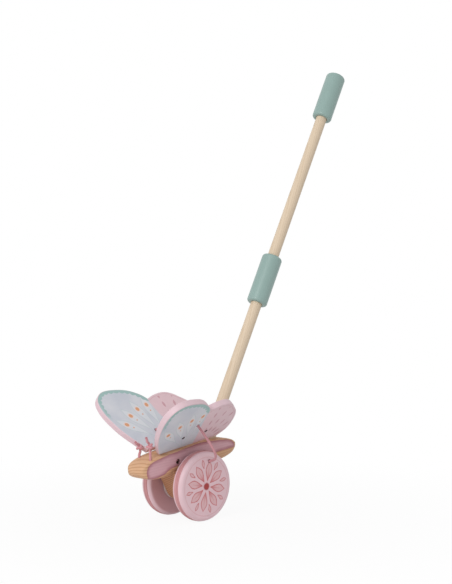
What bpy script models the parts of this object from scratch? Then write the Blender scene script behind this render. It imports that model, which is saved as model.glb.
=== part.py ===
"""Wooden push-along butterfly: two wheels, flapping wings and a two-part stick.

Run with: blender --background --python part.py
The toy is laid out in its own level frame, in millimetres: X to the toy's left,
Y to its tail, Z up, with the axle's centre at the origin. An empty then tips that
frame nose down and lifts it onto its wheels, so the floor is Z = 0.
"""

from math import cos, pi, radians, sin, sqrt

import bmesh
import bpy
from mathutils import Matrix, Vector

MM = 0.001

# Stance
NOSE_DOWN = 9.0
CENTRE_Y = -106.2

# Wheels
WHEEL_R = 42.9
WHEEL_X = 29.2
WHEEL_HALF = 8.6
RIM_ROUND = 5.0
GROOVE_HALF = 3.4
GROOVE_DEPTH = 2.2
RING_R = 43.5
CRANK_R = 31.4
CRANK_ANGLE = 17.5
KNOT_RECESS_R = 4.0
KNOT_RECESS = 4.6
AXLE_BORE = 11.8

# Axle and its block
AXLE_R = 4.0
AXLE_END = 32.0
BLOCK_R = 21.7
BLOCK_LEAN = 23.0
BLOCK_HALF = 16.2
BLOCK_FLARE = 32.3
DOWEL_Y = 13.0
DOWEL_Z = (10.0, 28.0)
SPACER = (16.8, 19.8)
DOWEL_R = 3.0

# Body
BODY_TIP = 80.9
BODY_HALF_HEIGHT = 15.0
BODY_HALF_WIDTH = 16.5
BODY_MID = 34.15
BODY_DROOP = 0.028
BODY_SAG = 0.00023
TOP_ROUND = (4.4, 2.6)
LOW_ROUND = 7.0
LOW_ROUND_NOSE = 2.8
LOW_ROUND_MIDDLE = 11.5
END_ROUND = 5.2

# Wings, in the plane of each wing: along the hinge, then outwards from it
HINGE_X = 12.4
HINGE_Z = 50.0
WING_T = 8.2
WING_REST = {1: 43.6, -1: 46.1}
FORE_LOBE = [(-49, 0), (-57.8, 15), (-67.6, 35), (-73.8, 56), (-75.4, 72), (-72.5, 86),
             (-62.5, 95.5), (-48, 97), (-25, 91), (-9, 80), (-1, 69.5)]
HIND_LOBE = [(-1, 69.5), (12, 73), (27, 73), (38, 68), (47, 59), (57, 46.5),
             (62, 30), (60.5, 12), (49, 0)]
TIE_HOLES = {"front": (-20.0, 22.2), "rear": (18.5, 21.6)}
FLAP_HOLE = (-7.0, 42.3)
FLAP_HOLE_DEPTH = 5.6

# Cords
CORD_R = 1.45
CORD_HOLE_R = 1.9
TIE_HOLE_R = 2.2
TIE_RECESS = 3.0
FLAP_BOW = (46.5, 18.8, 5.2)
SIDE_HOLES = {"front": (-22.4, 35.3), "rear": (22.0, 35.0)}
SIDE_HOLE_R = 3.3
ANTENNAE = {
    "left": [(12.0, -62.6, 39.5), (12.0, -62.2, 48), (12.0, -61.0, 58),
             (12.0, -61.9, 64), (12.2, -63.6, 70), (12.4, -64.8, 75.8)],
    "right": [(-12.0, -60.3, 39.5), (-12.0, -60.0, 47), (-12.0, -58.6, 54),
              (-12.0, -58.4, 59), (-12.4, -60.4, 63.5), (-12.8, -62.6, 67.5)],
}

# Stick, measured along its axis from the point beside the axle
STICK_R = 7.5
STICK_START = (0.0, 12.85, -2.04)
STICK_LEAN = 35.69
STICK_FOOT = 37.0
STICK_JOINT = 289.0
STICK_TOP = 607.8
SLEEVE = (253.5, 324.2)
GRIP = (550.6, 622.7)
SLEEVE_R = 13.6
SLEEVE_ROUND = 3.2

GAP = 0.3


def clear_scene():
    for obj in list(bpy.data.objects):
        bpy.data.objects.remove(obj, do_unlink=True)


def make_collection(name):
    found = bpy.data.collections.new(name)
    bpy.context.scene.collection.children.link(found)
    return found


clear_scene()
PARTS = make_collection("push_along_butterfly")
CUTTERS = make_collection("cutters")
CUTTERS.hide_render = True


def make_frame():
    """The empty that every piece hangs on."""
    frame = bpy.data.objects.new("toy_frame", None)
    PARTS.objects.link(frame)
    tip = Matrix.Rotation(radians(NOSE_DOWN), 4, "X")
    frame.matrix_world = Matrix.Translation((0, CENTRE_Y * MM, RING_R * MM)) @ tip
    return frame


FRAME = make_frame()


def material(name, colour, roughness, metallic=0.0):
    made = bpy.data.materials.new(name)
    made.use_nodes = True
    shader = made.node_tree.nodes["Principled BSDF"]
    shader.inputs["Base Color"].default_value = (*colour, 1.0)
    shader.inputs["Roughness"].default_value = roughness
    shader.inputs["Metallic"].default_value = metallic
    made.diffuse_color = (*colour, 1.0)
    return made


PALE_PINK = material("pale_pink_paint", (0.66, 0.47, 0.53), 0.5)
DUSTY_ROSE = material("dusty_rose_rubber", (0.47, 0.22, 0.22), 0.6)
BODY_WOOD = material("oiled_body_wood", (0.63, 0.40, 0.22), 0.55)
BLOCK_WOOD = material("block_wood", (0.58, 0.36, 0.20), 0.6)
STICK_WOOD = material("pale_stick_wood", (0.75, 0.60, 0.44), 0.5)
SAGE = material("sage_paint", (0.32, 0.45, 0.42), 0.5)
WING_BLUE = material("pale_blue_wing", (0.58, 0.60, 0.65), 0.5)
SPACER_PALE = material("pale_spacer", (0.72, 0.62, 0.60), 0.55)
ROSE_CORD = material("rose_cord", (0.56, 0.22, 0.25), 0.85)
STEEL = material("plated_steel", (0.62, 0.61, 0.58), 0.3, 1.0)
BRASS = material("brass", (0.72, 0.55, 0.28), 0.35, 1.0)


def axes(x_axis, y_axis, z_axis, origin=(0, 0, 0)):
    """A placing matrix from three axes and an origin in millimetres."""
    turn = Matrix((x_axis, y_axis, z_axis)).transposed().to_4x4()
    return Matrix.Translation(Vector(origin) * MM) @ turn


ALONG_X = axes((0, 1, 0), (0, 0, 1), (1, 0, 0))


def place(obj, matrix):
    obj.parent = FRAME
    obj.matrix_parent_inverse = Matrix()
    obj.matrix_basis = matrix


def add_object(name, data, matrix, look=None):
    """A piece of the toy, or a cutter where it has no material."""
    obj = bpy.data.objects.new(name, data)
    (PARTS if look else CUTTERS).objects.link(obj)
    place(obj, matrix)
    if look:
        data.materials.append(look)
    else:
        obj.hide_render = True
        obj.display_type = "WIRE"
    return obj


def smooth(obj, degrees=40):
    obj.data.shade_smooth()
    obj.data.set_sharp_from_angle(angle=radians(degrees))
    return obj


def make_mesh(name, build):
    """A mesh filled by a function that is handed an empty bmesh."""
    mesh = bpy.data.meshes.new(name)
    work = bmesh.new()
    build(work)
    bmesh.ops.recalc_face_normals(work, faces=work.faces)
    work.to_mesh(mesh)
    work.free()
    return mesh


def rod(name, radius, start, end, matrix, look=None, sides=32, chamfer=0.0):
    """A straight cylinder along Z of the placing matrix."""
    def build(work):
        middle = Matrix.Translation((0, 0, (start + end) * 0.5 * MM))
        bmesh.ops.create_cone(work, cap_ends=True, segments=sides, radius1=radius * MM,
                              radius2=radius * MM, depth=(end - start) * MM, matrix=middle)
    obj = add_object(name, make_mesh(name, build), matrix, look)
    if chamfer:
        bevel(obj, chamfer, 1)
    return smooth(obj)


def bevel(obj, width, segments):
    soften = obj.modifiers.new("soften", "BEVEL")
    soften.width = width * MM
    soften.segments = segments
    soften.limit_method = "ANGLE"
    soften.angle_limit = radians(50)
    return soften


def cut(obj, cutter):
    taken = obj.modifiers.new("cut_" + cutter.name, "BOOLEAN")
    taken.operation = "DIFFERENCE"
    taken.solver = "EXACT"
    taken.object = cutter


def turned(name, profile, matrix, look, steps=40):
    """A profile of (radius, height) points turned about Z; it runs down the outer side."""
    mesh = bpy.data.meshes.new(name)
    work = bmesh.new()
    points = [work.verts.new((r * MM, 0, z * MM)) for r, z in profile]
    for first, second in zip(points, points[1:]):
        work.edges.new((first, second))
    if profile[0][0] > 0:
        work.edges.new((points[-1], points[0]))
    work.to_mesh(mesh)
    work.free()
    obj = add_object(name, mesh, matrix, look)
    spin = obj.modifiers.new("turn", "SCREW")
    spin.steps = steps
    spin.render_steps = steps
    spin.use_merge_vertices = True
    spin.merge_threshold = 0.00001
    spin.use_smooth_shade = True
    return obj


def arc(centre, radius, start, end, steps):
    """Points of an arc in the profile plane, angles from the outward direction."""
    turns = [radians(start + (end - start) * i / steps) for i in range(steps + 1)]
    return [(centre[0] + radius * cos(a), centre[1] + radius * sin(a)) for a in turns]


def catmull(points, pieces):
    """A smooth run through the given points, of any dimension."""
    ends = [points[0]] + list(points) + [points[-1]]
    run = []
    for i in range(1, len(ends) - 2):
        a, b, c, d = (Vector(p) for p in ends[i - 1:i + 3])
        for k in range(pieces):
            t = k / pieces
            run.append(0.5 * ((2 * b) + (c - a) * t + (2 * a - 5 * b + 4 * c - d) * t * t
                              + (3 * b - a - 3 * c + d) * t ** 3))
    run.append(Vector(points[-1]))
    return run


def to_mesh_object(obj, look):
    """Swaps a curve object for a welded mesh object in the same place."""
    bpy.context.view_layer.update()
    graph = bpy.context.evaluated_depsgraph_get()
    mesh = bpy.data.meshes.new_from_object(obj.evaluated_get(graph))
    work = bmesh.new()
    work.from_mesh(mesh)
    bmesh.ops.remove_doubles(work, verts=work.verts, dist=0.000001)
    bmesh.ops.dissolve_limit(work, angle_limit=0.01, verts=work.verts, edges=work.edges)
    bmesh.ops.recalc_face_normals(work, faces=work.faces)
    work.to_mesh(mesh)
    work.free()
    mesh.materials.clear()
    name = obj.name
    matrix = obj.matrix_basis.copy()
    bpy.data.objects.remove(obj, do_unlink=True)
    made = add_object(name, mesh, matrix, look)
    made.name = name
    return made


def board(name, outline, half, matrix, look):
    """A flat outline in millimetres given a thickness of twice the half."""
    curve = bpy.data.curves.new(name, "CURVE")
    curve.dimensions = "2D"
    curve.fill_mode = "BOTH"
    curve.extrude = half * MM
    line = curve.splines.new("POLY")
    line.points.add(len(outline) - 1)
    for point, (x, y) in zip(line.points, outline):
        point.co = (x * MM, y * MM, 0, 1)
    line.use_cyclic_u = True
    return to_mesh_object(add_object(name, curve, matrix, look), look)


def cord(name, points, swell, origin=(0, 0, 0)):
    """A round cord through the points; swell gives the radius factor at each one."""
    start = Vector(origin)
    curve = bpy.data.curves.new(name, "CURVE")
    curve.dimensions = "3D"
    curve.bevel_depth = CORD_R * MM
    curve.bevel_resolution = 2
    curve.use_fill_caps = True
    line = curve.splines.new("POLY")
    line.points.add(len(points) - 1)
    for point, place_at, factor in zip(line.points, points, swell):
        point.co = (*((Vector(place_at) - start) * MM), 1)
        point.radius = factor
    return add_object(name, curve, Matrix.Translation(start * MM), ROSE_CORD)


# Wheels, rings and axle

def wheel_profile():
    """Half section of a wheel, from the outer face round to the inner face."""
    side = WHEEL_R - RIM_ROUND
    top = arc((side, WHEEL_HALF - RIM_ROUND), RIM_ROUND, 90, 0, 3)
    low = arc((side, RIM_ROUND - WHEEL_HALF), RIM_ROUND, 0, -90, 3)
    floor = WHEEL_R - GROOVE_DEPTH
    groove = [(WHEEL_R, GROOVE_HALF), (floor, GROOVE_HALF),
              (floor, -GROOVE_HALF), (WHEEL_R, -GROOVE_HALF)]
    return [(0, WHEEL_HALF)] + top + groove + low + [(0, -WHEEL_HALF)]


def crank_point(side, x):
    """The crank hole's centre on the wheel at distance x from the middle."""
    turn = radians(CRANK_ANGLE)
    return Vector((side * x, CRANK_R * sin(turn), CRANK_R * cos(turn)))


def make_wheel(side, label):
    at = axes((0, side, 0), (0, 0, 1), (side, 0, 0), (side * WHEEL_X, 0, 0))
    wheel = turned(label + "_wheel", wheel_profile(), at, PALE_PINK)
    inner = -WHEEL_HALF
    bore = rod(label + "_axle_bore", AXLE_R + GAP, inner - 1, inner + AXLE_BORE, at, sides=24)
    cut(wheel, bore)
    turn = radians(CRANK_ANGLE) * side
    beside = at @ Matrix.Translation((CRANK_R * MM * sin(turn), CRANK_R * MM * cos(turn), 0))
    cut(wheel, rod(label + "_crank_hole", CORD_HOLE_R, -12, 12, beside, sides=16))
    recess = rod(label + "_knot_recess", KNOT_RECESS_R, inner - 1, inner + KNOT_RECESS, beside,
                 sides=16)
    cut(wheel, recess)
    thick = GROOVE_HALF - GAP
    inside = WHEEL_R - GROOVE_DEPTH + GAP
    ring = [(inside, thick), (RING_R - 0.6, thick), (RING_R, thick - 1.0),
            (RING_R, 1.0 - thick), (RING_R - 0.6, -thick), (inside, -thick)]
    turned(label + "_wheel_ring", ring, at, DUSTY_ROSE)


def make_axle():
    rod("axle", AXLE_R, -AXLE_END, AXLE_END, ALONG_X, STEEL, sides=24, chamfer=0.6)
    for side, label in ((1, "left"), (-1, "right")):
        ends = sorted(side * x for x in SPACER)
        ring = [(AXLE_R + 0.4, ends[1]), (BLOCK_R, ends[1]), (BLOCK_R, ends[0]),
                (AXLE_R + 0.4, ends[0])]
        turned(label + "_spacer", ring, ALONG_X, SPACER_PALE, steps=32)


# Body and axle block

def body_half_height(y):
    return BODY_HALF_HEIGHT * sqrt(max(0.0, 1 - abs(y / BODY_TIP) ** 3.4))


def body_middle(y):
    return BODY_MID - BODY_DROOP * y - BODY_SAG * y * y


def smoothstep(low, high, value):
    t = min(1.0, max(0.0, (value - low) / (high - low)))
    return t * t * (3 - 2 * t)


def body_section(y, steps=3):
    """Points of the body's cross-section, from the top of the left side round to its foot."""
    half = body_half_height(y)
    into_end = max(0.0, abs(y) - BODY_TIP + END_ROUND) / END_ROUND
    wide = BODY_HALF_WIDTH - END_ROUND * (1 - sqrt(1 - min(1.0, into_end) ** 2))
    low = LOW_ROUND_NOSE + (LOW_ROUND_MIDDLE - LOW_ROUND_NOSE) * smoothstep(-62, -24, y)
    fit = min(1.0, 1.9 * half / (TOP_ROUND[1] + low))
    corners = ((1, 1, TOP_ROUND[0], TOP_ROUND[1] * fit, 90), (1, -1, LOW_ROUND, low * fit, 0),
               (-1, -1, LOW_ROUND, low * fit, 270), (-1, 1, TOP_ROUND[0], TOP_ROUND[1] * fit, 180))
    ring = []
    for right, up, across, high, start in corners:
        for i in range(steps + 1):
            turn = radians(start - 90 * i / steps)
            ring.append(Vector((right * (wide - across) + across * cos(turn), y,
                                body_middle(y) + up * (half - high) + high * sin(turn))))
    return ring


def loft(name, rings, matrix, look):
    """A skin over rings of points that all have the same count, closed at both ends."""
    def build(work):
        rows = [[work.verts.new(point * MM) for point in ring] for ring in rings]
        for row, following in zip(rows, rows[1:]):
            for i in range(len(row)):
                work.faces.new((row[i - 1], row[i], following[i], following[i - 1]))
        work.faces.new(rows[0])
        work.faces.new(rows[-1])
    return add_object(name, make_mesh(name, build), matrix, look)


def body_rings(count=24):
    reach = BODY_TIP - 0.05
    return [body_section(-reach * cos(pi * i / count)) for i in range(count + 1)]


def tie_channel(side, row):
    """Start at the body's top and end beside its side face, for one tie cord."""
    y, z = SIDE_HOLES[row]
    along = TIE_HOLES[row][0]
    return Vector((side * 4.2, along, 49.0)), Vector((side * 13.5, y, z + 0.6))


def make_body():
    body = loft("body", body_rings(), Matrix(), BODY_WOOD)
    for side, label in ((1, "left"), (-1, "right")):
        for row, (y, z) in SIDE_HOLES.items():
            name = label + "_" + row
            at = Matrix.Translation((0, y * MM, z * MM)) @ ALONG_X
            ends = sorted((side * 11.5, side * 18.0))
            cut(body, rod(name + "_side_hole", SIDE_HOLE_R, *ends, at, sides=20))
            top, low = tie_channel(side, row)
            lift = (top - low).normalized()
            cut(body, between(name + "_channel", CORD_HOLE_R, low, top + lift * 4))
        foot = Vector(ANTENNAE[label][0])
        up = Matrix.Translation((foot - Vector((0, 0, 0.5))) * MM)
        cut(body, rod(label + "_antenna_hole", CORD_HOLE_R, 0, 14, up, sides=16))
    cut(body, rod("socket_cutter", STICK_R + GAP, STICK_FOOT - 0.5, 90, stick_axis(), sides=32))
    for row, y in (("front", -DOWEL_Y), ("rear", DOWEL_Y)):
        at = Matrix.Translation((0, y * MM, 0))
        top = DOWEL_Z[1] + 0.4
        cut(body, rod(row + "_dowel_bore", DOWEL_R + GAP, 12, top, at, sides=16))
    smooth(body)


def between(name, radius, start, end):
    """A cylindrical cutter from one point to another."""
    run = end - start
    turn = run.to_track_quat("Z", "Y").to_matrix().to_4x4()
    return rod(name, radius, 0, run.length, Matrix.Translation(start * MM) @ turn, sides=16)


def make_block():
    """The block under the body that holds the axle: round below, flared up to the body."""
    lean = radians(BLOCK_LEAN)
    turns = [-lean - (pi - 2 * lean) * i / 16 for i in range(17)]
    outline = [(BLOCK_R * cos(t), BLOCK_R * sin(t)) for t in turns]
    for i in range(7):
        y = BLOCK_FLARE * (i / 3 - 1)
        outline.append((y, body_middle(y) - body_half_height(y) - GAP))
    block = board("axle_block", outline, BLOCK_HALF, ALONG_X, BLOCK_WOOD)
    bevel(block, 1.4, 1)
    cut(block, rod("axle_tunnel", AXLE_R + 0.4, -30, 30, ALONG_X, sides=24))
    for row, y in (("front", -DOWEL_Y), ("rear", DOWEL_Y)):
        at = Matrix.Translation((0, y * MM, 0))
        foot = DOWEL_Z[0] - 0.4
        cut(block, rod(row + "_block_bore", DOWEL_R + GAP, foot, 40, at, sides=16))
        rod(row + "_dowel", DOWEL_R, *DOWEL_Z, at, BODY_WOOD, sides=16, chamfer=0.5)
    smooth(block)


# Wings and their cords

def wing_axes(side):
    """Outward direction along a wing and its upper face's normal, at rest."""
    lift = radians(WING_REST[side])
    return (Vector((side * cos(lift), 0, sin(lift))),
            Vector((-side * sin(lift), 0, cos(lift))))


def wing_point(side, along, out, height):
    """A point on or over a wing, height being measured from its lower face."""
    outward, normal = wing_axes(side)
    return Vector((side * HINGE_X, along, HINGE_Z)) + outward * out + normal * height


def make_wing(side, label):
    outward, _ = wing_axes(side)
    flat = axes((0, 1, 0), outward, Vector((0, 1, 0)).cross(outward),
                (side * HINGE_X, 0, HINGE_Z))
    outline = [(p.x, p.y) for p in catmull(FORE_LOBE, 3)[:-1] + catmull(HIND_LOBE, 3)]
    wing = board(label + "_wing", outline, WING_T / 2, flat, WING_BLUE)
    wing.data.transform(Matrix.Translation((0, 0, -side * WING_T / 2 * MM)))
    bevel(wing, 0.8, 1)
    for row, (along, out) in TIE_HOLES.items():
        low = wing_point(side, along, out, -2)
        high = wing_point(side, along, out, WING_T + 2)
        cut(wing, between(label + "_" + row + "_tie_hole", TIE_HOLE_R, low, high))
    low = wing_point(side, *FLAP_HOLE, -2)
    high = wing_point(side, *FLAP_HOLE, FLAP_HOLE_DEPTH)
    cut(wing, between(label + "_flap_hole", CORD_HOLE_R, low, high))
    smooth(wing)


def make_tie(side, label, row):
    """A short cord that hinges the wing: up through the body, then into the wing."""
    along, out = TIE_HOLES[row]
    top, low = tie_channel(side, row)
    slope = (low - top).normalized()
    over = [(3.5, 2.6), (11, 2.2), (18, 2.9), (out - 0.4, 1.9), (out, -1.2),
            (out, TIE_RECESS - WING_T)]
    bend = [low, low.lerp(top, 0.5), top, top - slope * 0.6 + Vector((0, 0, 2.6)),
            Vector((side * 3.9, along, 56.5))]
    bend += [wing_point(side, along, reach, WING_T + height) for reach, height in over]
    run = catmull(bend, 2)
    cord(label + "_" + row + "_tie_cord", run, [1.0] * len(run))


def make_flap_cord(side, label):
    """The cord from the wing to the crank hole, bowed out past the wheel."""
    _, normal = wing_axes(side)
    start = wing_point(side, *FLAP_HOLE, 0)
    face = WHEEL_X + WHEEL_HALF
    end = crank_point(side, face)
    reach, spread, lift = FLAP_BOW
    first = start - normal * reach
    second = end + Vector((side * spread, 0, lift))
    bow = []
    for i in range(1, 14):
        t = i / 14
        bow.append((1 - t) ** 3 * start + 3 * (1 - t) ** 2 * t * first
                   + 3 * (1 - t) * t * t * second + t ** 3 * end)
    inner = WHEEL_X - WHEEL_HALF
    knot = [(inner + 5.2, 1.0), (inner + 4.1, 1.35), (inner + 3.2, 2.0),
            (inner + 2.0, 2.15), (inner + 1.2, 1.5)]
    points = [wing_point(side, *FLAP_HOLE, 5.0), wing_point(side, *FLAP_HOLE, 0.3)] + bow
    swell = [1.0] * len(points)
    for x, factor in [(face, 1.0), (face - 5, 1.0)] + knot:
        points.append(crank_point(side, x))
        swell.append(factor)
    cord(label + "_flap_cord", points, swell, (side * HINGE_X, 0, HINGE_Z))


def make_antenna(label):
    """A stub of cord with one knot near its free end."""
    route = ANTENNAE[label]
    run = catmull(route, 2)
    knot = Vector(route[3])
    swell = [1.0 + 1.0 * max(0.0, 1 - ((p - knot).length / 4.2) ** 2) for p in run]
    cord(label + "_antenna", run, swell)


# Stick, sleeve and grip

def stick_axis():
    lean = radians(STICK_LEAN)
    along = Vector((0, sin(lean), cos(lean)))
    side = Vector((1, 0, 0))
    return axes(side, along.cross(side), along, STICK_START)


def round_ended(radius, start, end, rounding, steps=3):
    """Outer side of a turned piece with rounded ends, from its top down."""
    top = arc((radius - rounding, end - rounding), rounding, 90, 0, steps)
    low = arc((radius - rounding, start + rounding), rounding, 0, -90, steps)
    return top + low


def make_stick():
    axis = stick_axis()
    thread = 3.0
    nut = 4.6
    lower = rod("lower_stick", STICK_R, STICK_FOOT, STICK_JOINT - 0.2, axis, STICK_WOOD,
                sides=32, chamfer=0.8)
    cut(lower, rod("nut_bore", nut + GAP, STICK_JOINT - 16.5, STICK_JOINT + 4, axis, sides=24))
    upper = rod("upper_stick", STICK_R, STICK_JOINT + 0.2, STICK_TOP, axis, STICK_WOOD,
                sides=32, chamfer=0.8)
    cut(upper, rod("screw_bore", thread + GAP, STICK_JOINT - 4, STICK_JOINT + 20.5, axis, sides=20))
    screw = [(0, STICK_JOINT + 20), (thread - 1, STICK_JOINT + 20), (thread, STICK_JOINT + 18.6),
             (thread, STICK_JOINT - 13), (thread - 0.8, STICK_JOINT - 14), (0, STICK_JOINT - 14)]
    turned("joining_screw", screw, axis, STEEL, steps=24)
    insert = [(thread + GAP, STICK_JOINT - 0.6), (nut, STICK_JOINT - 0.6),
              (nut, STICK_JOINT - 16), (thread + GAP, STICK_JOINT - 16)]
    turned("insert_nut", insert, axis, BRASS, steps=24)
    bore = STICK_R + GAP
    outside = round_ended(SLEEVE_R, *SLEEVE, SLEEVE_ROUND)
    rim = [(bore, SLEEVE[0]), (bore, SLEEVE[1])]
    turned("middle_sleeve", outside + rim, axis, SAGE, steps=36)
    outside = round_ended(SLEEVE_R, *GRIP, SLEEVE_ROUND)
    inside = [(bore, GRIP[0]), (bore, STICK_TOP + 0.4), (0, STICK_TOP + 0.4)]
    turned("grip", [(0, GRIP[1])] + outside + inside, axis, SAGE, steps=36)


def build():
    for side, label in ((1, "left"), (-1, "right")):
        make_wheel(side, label)
        make_wing(side, label)
        for row in TIE_HOLES:
            make_tie(side, label, row)
        make_flap_cord(side, label)
        make_antenna(label)
    make_axle()
    make_body()
    make_block()
    make_stick()


build()
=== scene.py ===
"""Dressed scene of a wooden push-along butterfly with flapping wings.

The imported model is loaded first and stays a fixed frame. Each sub-assembly below then
builds finer pieces in the same places, dresses them and hands them to the body that
they move with. The toy is laid out in its own level frame, in millimetres: X to the
toy's left, Y to its tail, Z up, with the axle's centre at the origin.
"""

from __future__ import annotations

import logging
import math
from dataclasses import dataclass, field
from enum import Enum
from typing import Any, Sequence

import bmesh
import bpy
import numpy as np
from mathutils import Matrix, Vector
from mathutils.geometry import delaunay_2d_cdt


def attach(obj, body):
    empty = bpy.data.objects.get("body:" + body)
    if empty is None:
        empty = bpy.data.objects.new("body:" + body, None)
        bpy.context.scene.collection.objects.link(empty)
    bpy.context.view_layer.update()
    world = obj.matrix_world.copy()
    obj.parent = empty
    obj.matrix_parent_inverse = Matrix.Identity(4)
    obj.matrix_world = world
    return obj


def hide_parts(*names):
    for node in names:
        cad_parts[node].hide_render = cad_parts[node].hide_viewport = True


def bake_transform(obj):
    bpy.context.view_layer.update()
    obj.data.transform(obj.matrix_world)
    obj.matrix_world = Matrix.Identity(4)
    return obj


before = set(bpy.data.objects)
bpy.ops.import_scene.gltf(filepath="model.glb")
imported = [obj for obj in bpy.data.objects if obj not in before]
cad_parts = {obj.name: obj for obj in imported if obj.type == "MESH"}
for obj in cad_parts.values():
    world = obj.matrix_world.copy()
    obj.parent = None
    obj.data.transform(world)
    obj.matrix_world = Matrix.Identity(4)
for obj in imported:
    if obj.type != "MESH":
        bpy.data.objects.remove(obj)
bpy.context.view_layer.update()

LOG = logging.getLogger("butterfly")
MM = 0.001
RING_RADIUS = 43.5
AXLE_BORE = 4.4
CORD_BORE = 1.9
FIT = 0.3

Pair = tuple[float, float]
Triple = tuple[float, float, float]
Shade = Triple
Mesh = bpy.types.Mesh
Piece = bpy.types.Object
Node = bpy.types.Node
Work = bmesh.types.BMesh
Face = bmesh.types.BMFace
Vert = bmesh.types.BMVert


def written(red: int, green: int, blue: int) -> Shade:
    """A colour in linear light from its written steps of 0 to 255."""
    steps = [value / 255 for value in (red, green, blue)]
    return tuple(s / 12.92 if s <= 0.04045 else ((s + 0.055) / 1.055) ** 2.4 for s in steps)


def held(value: float) -> float:
    """The value, kept between 0 and 1."""
    return min(1.0, max(0.0, value))


class Side(Enum):
    """Which side of the toy a piece belongs to, as the sign of its X."""

    LEFT = 1
    RIGHT = -1

    @property
    def label(self) -> str:
        """The side's name as the nodes write it."""
        return self.name.lower()


class Tie(Enum):
    """The two cords that hinge each wing."""

    FRONT = "front"
    REAR = "rear"


@dataclass(frozen=True)
class Stance:
    """How the level toy frame stands on the floor."""

    nose_down: float = 9.0
    centre_y: float = -106.2
    axle_height: float = RING_RADIUS

    def matrix(self) -> Matrix:
        """The toy frame's place in the world."""
        tip = Matrix.Rotation(math.radians(self.nose_down), 4, "X")
        return Matrix.Translation((0, self.centre_y * MM, self.axle_height * MM)) @ tip


TOY = Stance().matrix()


def in_world(point: Sequence[float]) -> Vector:
    """A toy-frame point in millimetres, as a world point in metres."""
    return TOY @ (Vector(point) * MM)


# Node sheets

class Val:
    """A number, vector or colour that varies over a surface: one node's output."""

    def __init__(self, sheet: "Sheet", socket: bpy.types.NodeSocket) -> None:
        """Keeps the sheet that the output is on."""
        self.sheet = sheet
        self.socket = socket

    def __add__(self, other: Any) -> "Val":
        """Sum."""
        return self.sheet.maths("ADD", self, other)

    def __sub__(self, other: Any) -> "Val":
        """Difference."""
        return self.sheet.maths("SUBTRACT", self, other)

    def __rsub__(self, other: Any) -> "Val":
        """Difference from a plain number."""
        return self.sheet.maths("SUBTRACT", other, self)

    def __mul__(self, other: Any) -> "Val":
        """Product."""
        return self.sheet.maths("MULTIPLY", self, other)

    def __truediv__(self, other: Any) -> "Val":
        """Quotient."""
        return self.sheet.maths("DIVIDE", self, other)

    def __abs__(self) -> "Val":
        """Size without its sign."""
        return self.sheet.maths("ABSOLUTE", self)

    __radd__ = __add__
    __rmul__ = __mul__


Vals = dict[str, Val]


class Sheet:
    """Short calls that lay out one node tree."""

    def __init__(self, tree: bpy.types.NodeTree) -> None:
        """Starts on an existing tree, with its surface shader where it has one."""
        self.tree = tree
        self.shader = tree.nodes.get("Principled BSDF")

    def add(self, kind: str, **settings: Any) -> Node:
        """Adds one node and sets its options.

        Args:
            kind: the node's type.
            settings: its options by name.

        Returns:
            The node.
        """
        node = self.tree.nodes.new(kind)
        for name, value in settings.items():
            setattr(node, name, value)
        return node

    def feed(self, socket: bpy.types.NodeSocket, value: Any) -> None:
        """Links a varying value to a socket, or writes a constant there.

        Args:
            socket: the input.
            value: a varying value, or a plain number, vector or colour.
        """
        if isinstance(value, Val):
            self.tree.links.new(value.socket, socket)
        elif isinstance(value, tuple) and socket.type == "RGBA":
            socket.default_value = (*value, 1.0)
        else:
            socket.default_value = value

    def made(self, kind: str, feeds: dict[Any, Any], out: Any = 0, **settings: Any) -> Val:
        """Adds one node, feeds its inputs and gives one of its outputs.

        Args:
            kind: the node's type.
            feeds: its inputs, by name or number.
            out: the output, by name or number.
            settings: its options by name.

        Returns:
            The output.
        """
        node = self.add(kind, **settings)
        for key, value in feeds.items():
            self.feed(node.inputs[key], value)
        return Val(self, node.outputs[out])

    def maths(self, operation: str, *values: Any, clamp: bool = False) -> Val:
        """One Math node, clamped to 0 and 1 if asked."""
        return self.made("ShaderNodeMath", dict(enumerate(values)), operation=operation,
                         use_clamp=clamp)

    def tint(self, factor: Any, first: Any, second: Any) -> Val:
        """Mixes two colours, the factor being the second one's share."""
        return self.made("ShaderNodeMix", {0: factor, 6: first, 7: second}, 2, data_type="RGBA")

    def ramp(self, value: Any, low: float, high: float, start: float = 0.0,
             end: float = 1.0) -> Val:
        """Turns a value smoothly from start at low to end at high."""
        feeds = dict(enumerate((value, low, high, start, end)))
        return self.made("ShaderNodeMapRange", feeds, interpolation_type="SMOOTHSTEP")

    def noise(self, place: Any, scale: float, detail: float = 2.0, rough: float = 0.5) -> Val:
        """A soft noise from 0 to 1."""
        feeds = {"Vector": place, "Scale": scale, "Detail": detail, "Roughness": rough}
        return self.made("ShaderNodeTexNoise", feeds)

    def split(self, place: Val) -> tuple[Val, Val, Val]:
        """The three parts of a vector."""
        node = self.made("ShaderNodeSeparateXYZ", {0: place}).socket.node
        return tuple(Val(self, socket) for socket in node.outputs)

    def join(self, *parts: Any) -> Val:
        """A vector from three numbers."""
        return self.made("ShaderNodeCombineXYZ", dict(enumerate(parts)))

    def place(self) -> Val:
        """The piece's own coordinates in millimetres."""
        own = self.made("ShaderNodeTexCoord", {}, "Object")
        return self.made("ShaderNodeVectorMath", {0: own, "Scale": 1 / MM}, operation="SCALE")

    def stored(self, name: str) -> Val:
        """A number stored at the mesh's points."""
        return self.made("ShaderNodeAttribute", {}, "Fac", attribute_name=name)

    def lay(self) -> Val:
        """The coordinates along and round a cord."""
        return self.made("ShaderNodeUVMap", {}, uv_map="lay")

    def seen(self) -> Val:
        """One on rays that show a surface, nought on rays that only light it.

        Returns:
            One or nought.
        """
        rays = self.add("ShaderNodeLightPath")
        first, second, third = (Val(self, rays.outputs[f"Is {kind} Ray"])
                                for kind in ("Camera", "Glossy", "Transmission"))
        return self.maths("ADD", first + second, third, clamp=True)

    def length(self, x: Val, y: Val) -> Val:
        """The distance from the origin of two numbers."""
        return self.maths("SQRT", x * x + y * y)


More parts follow.
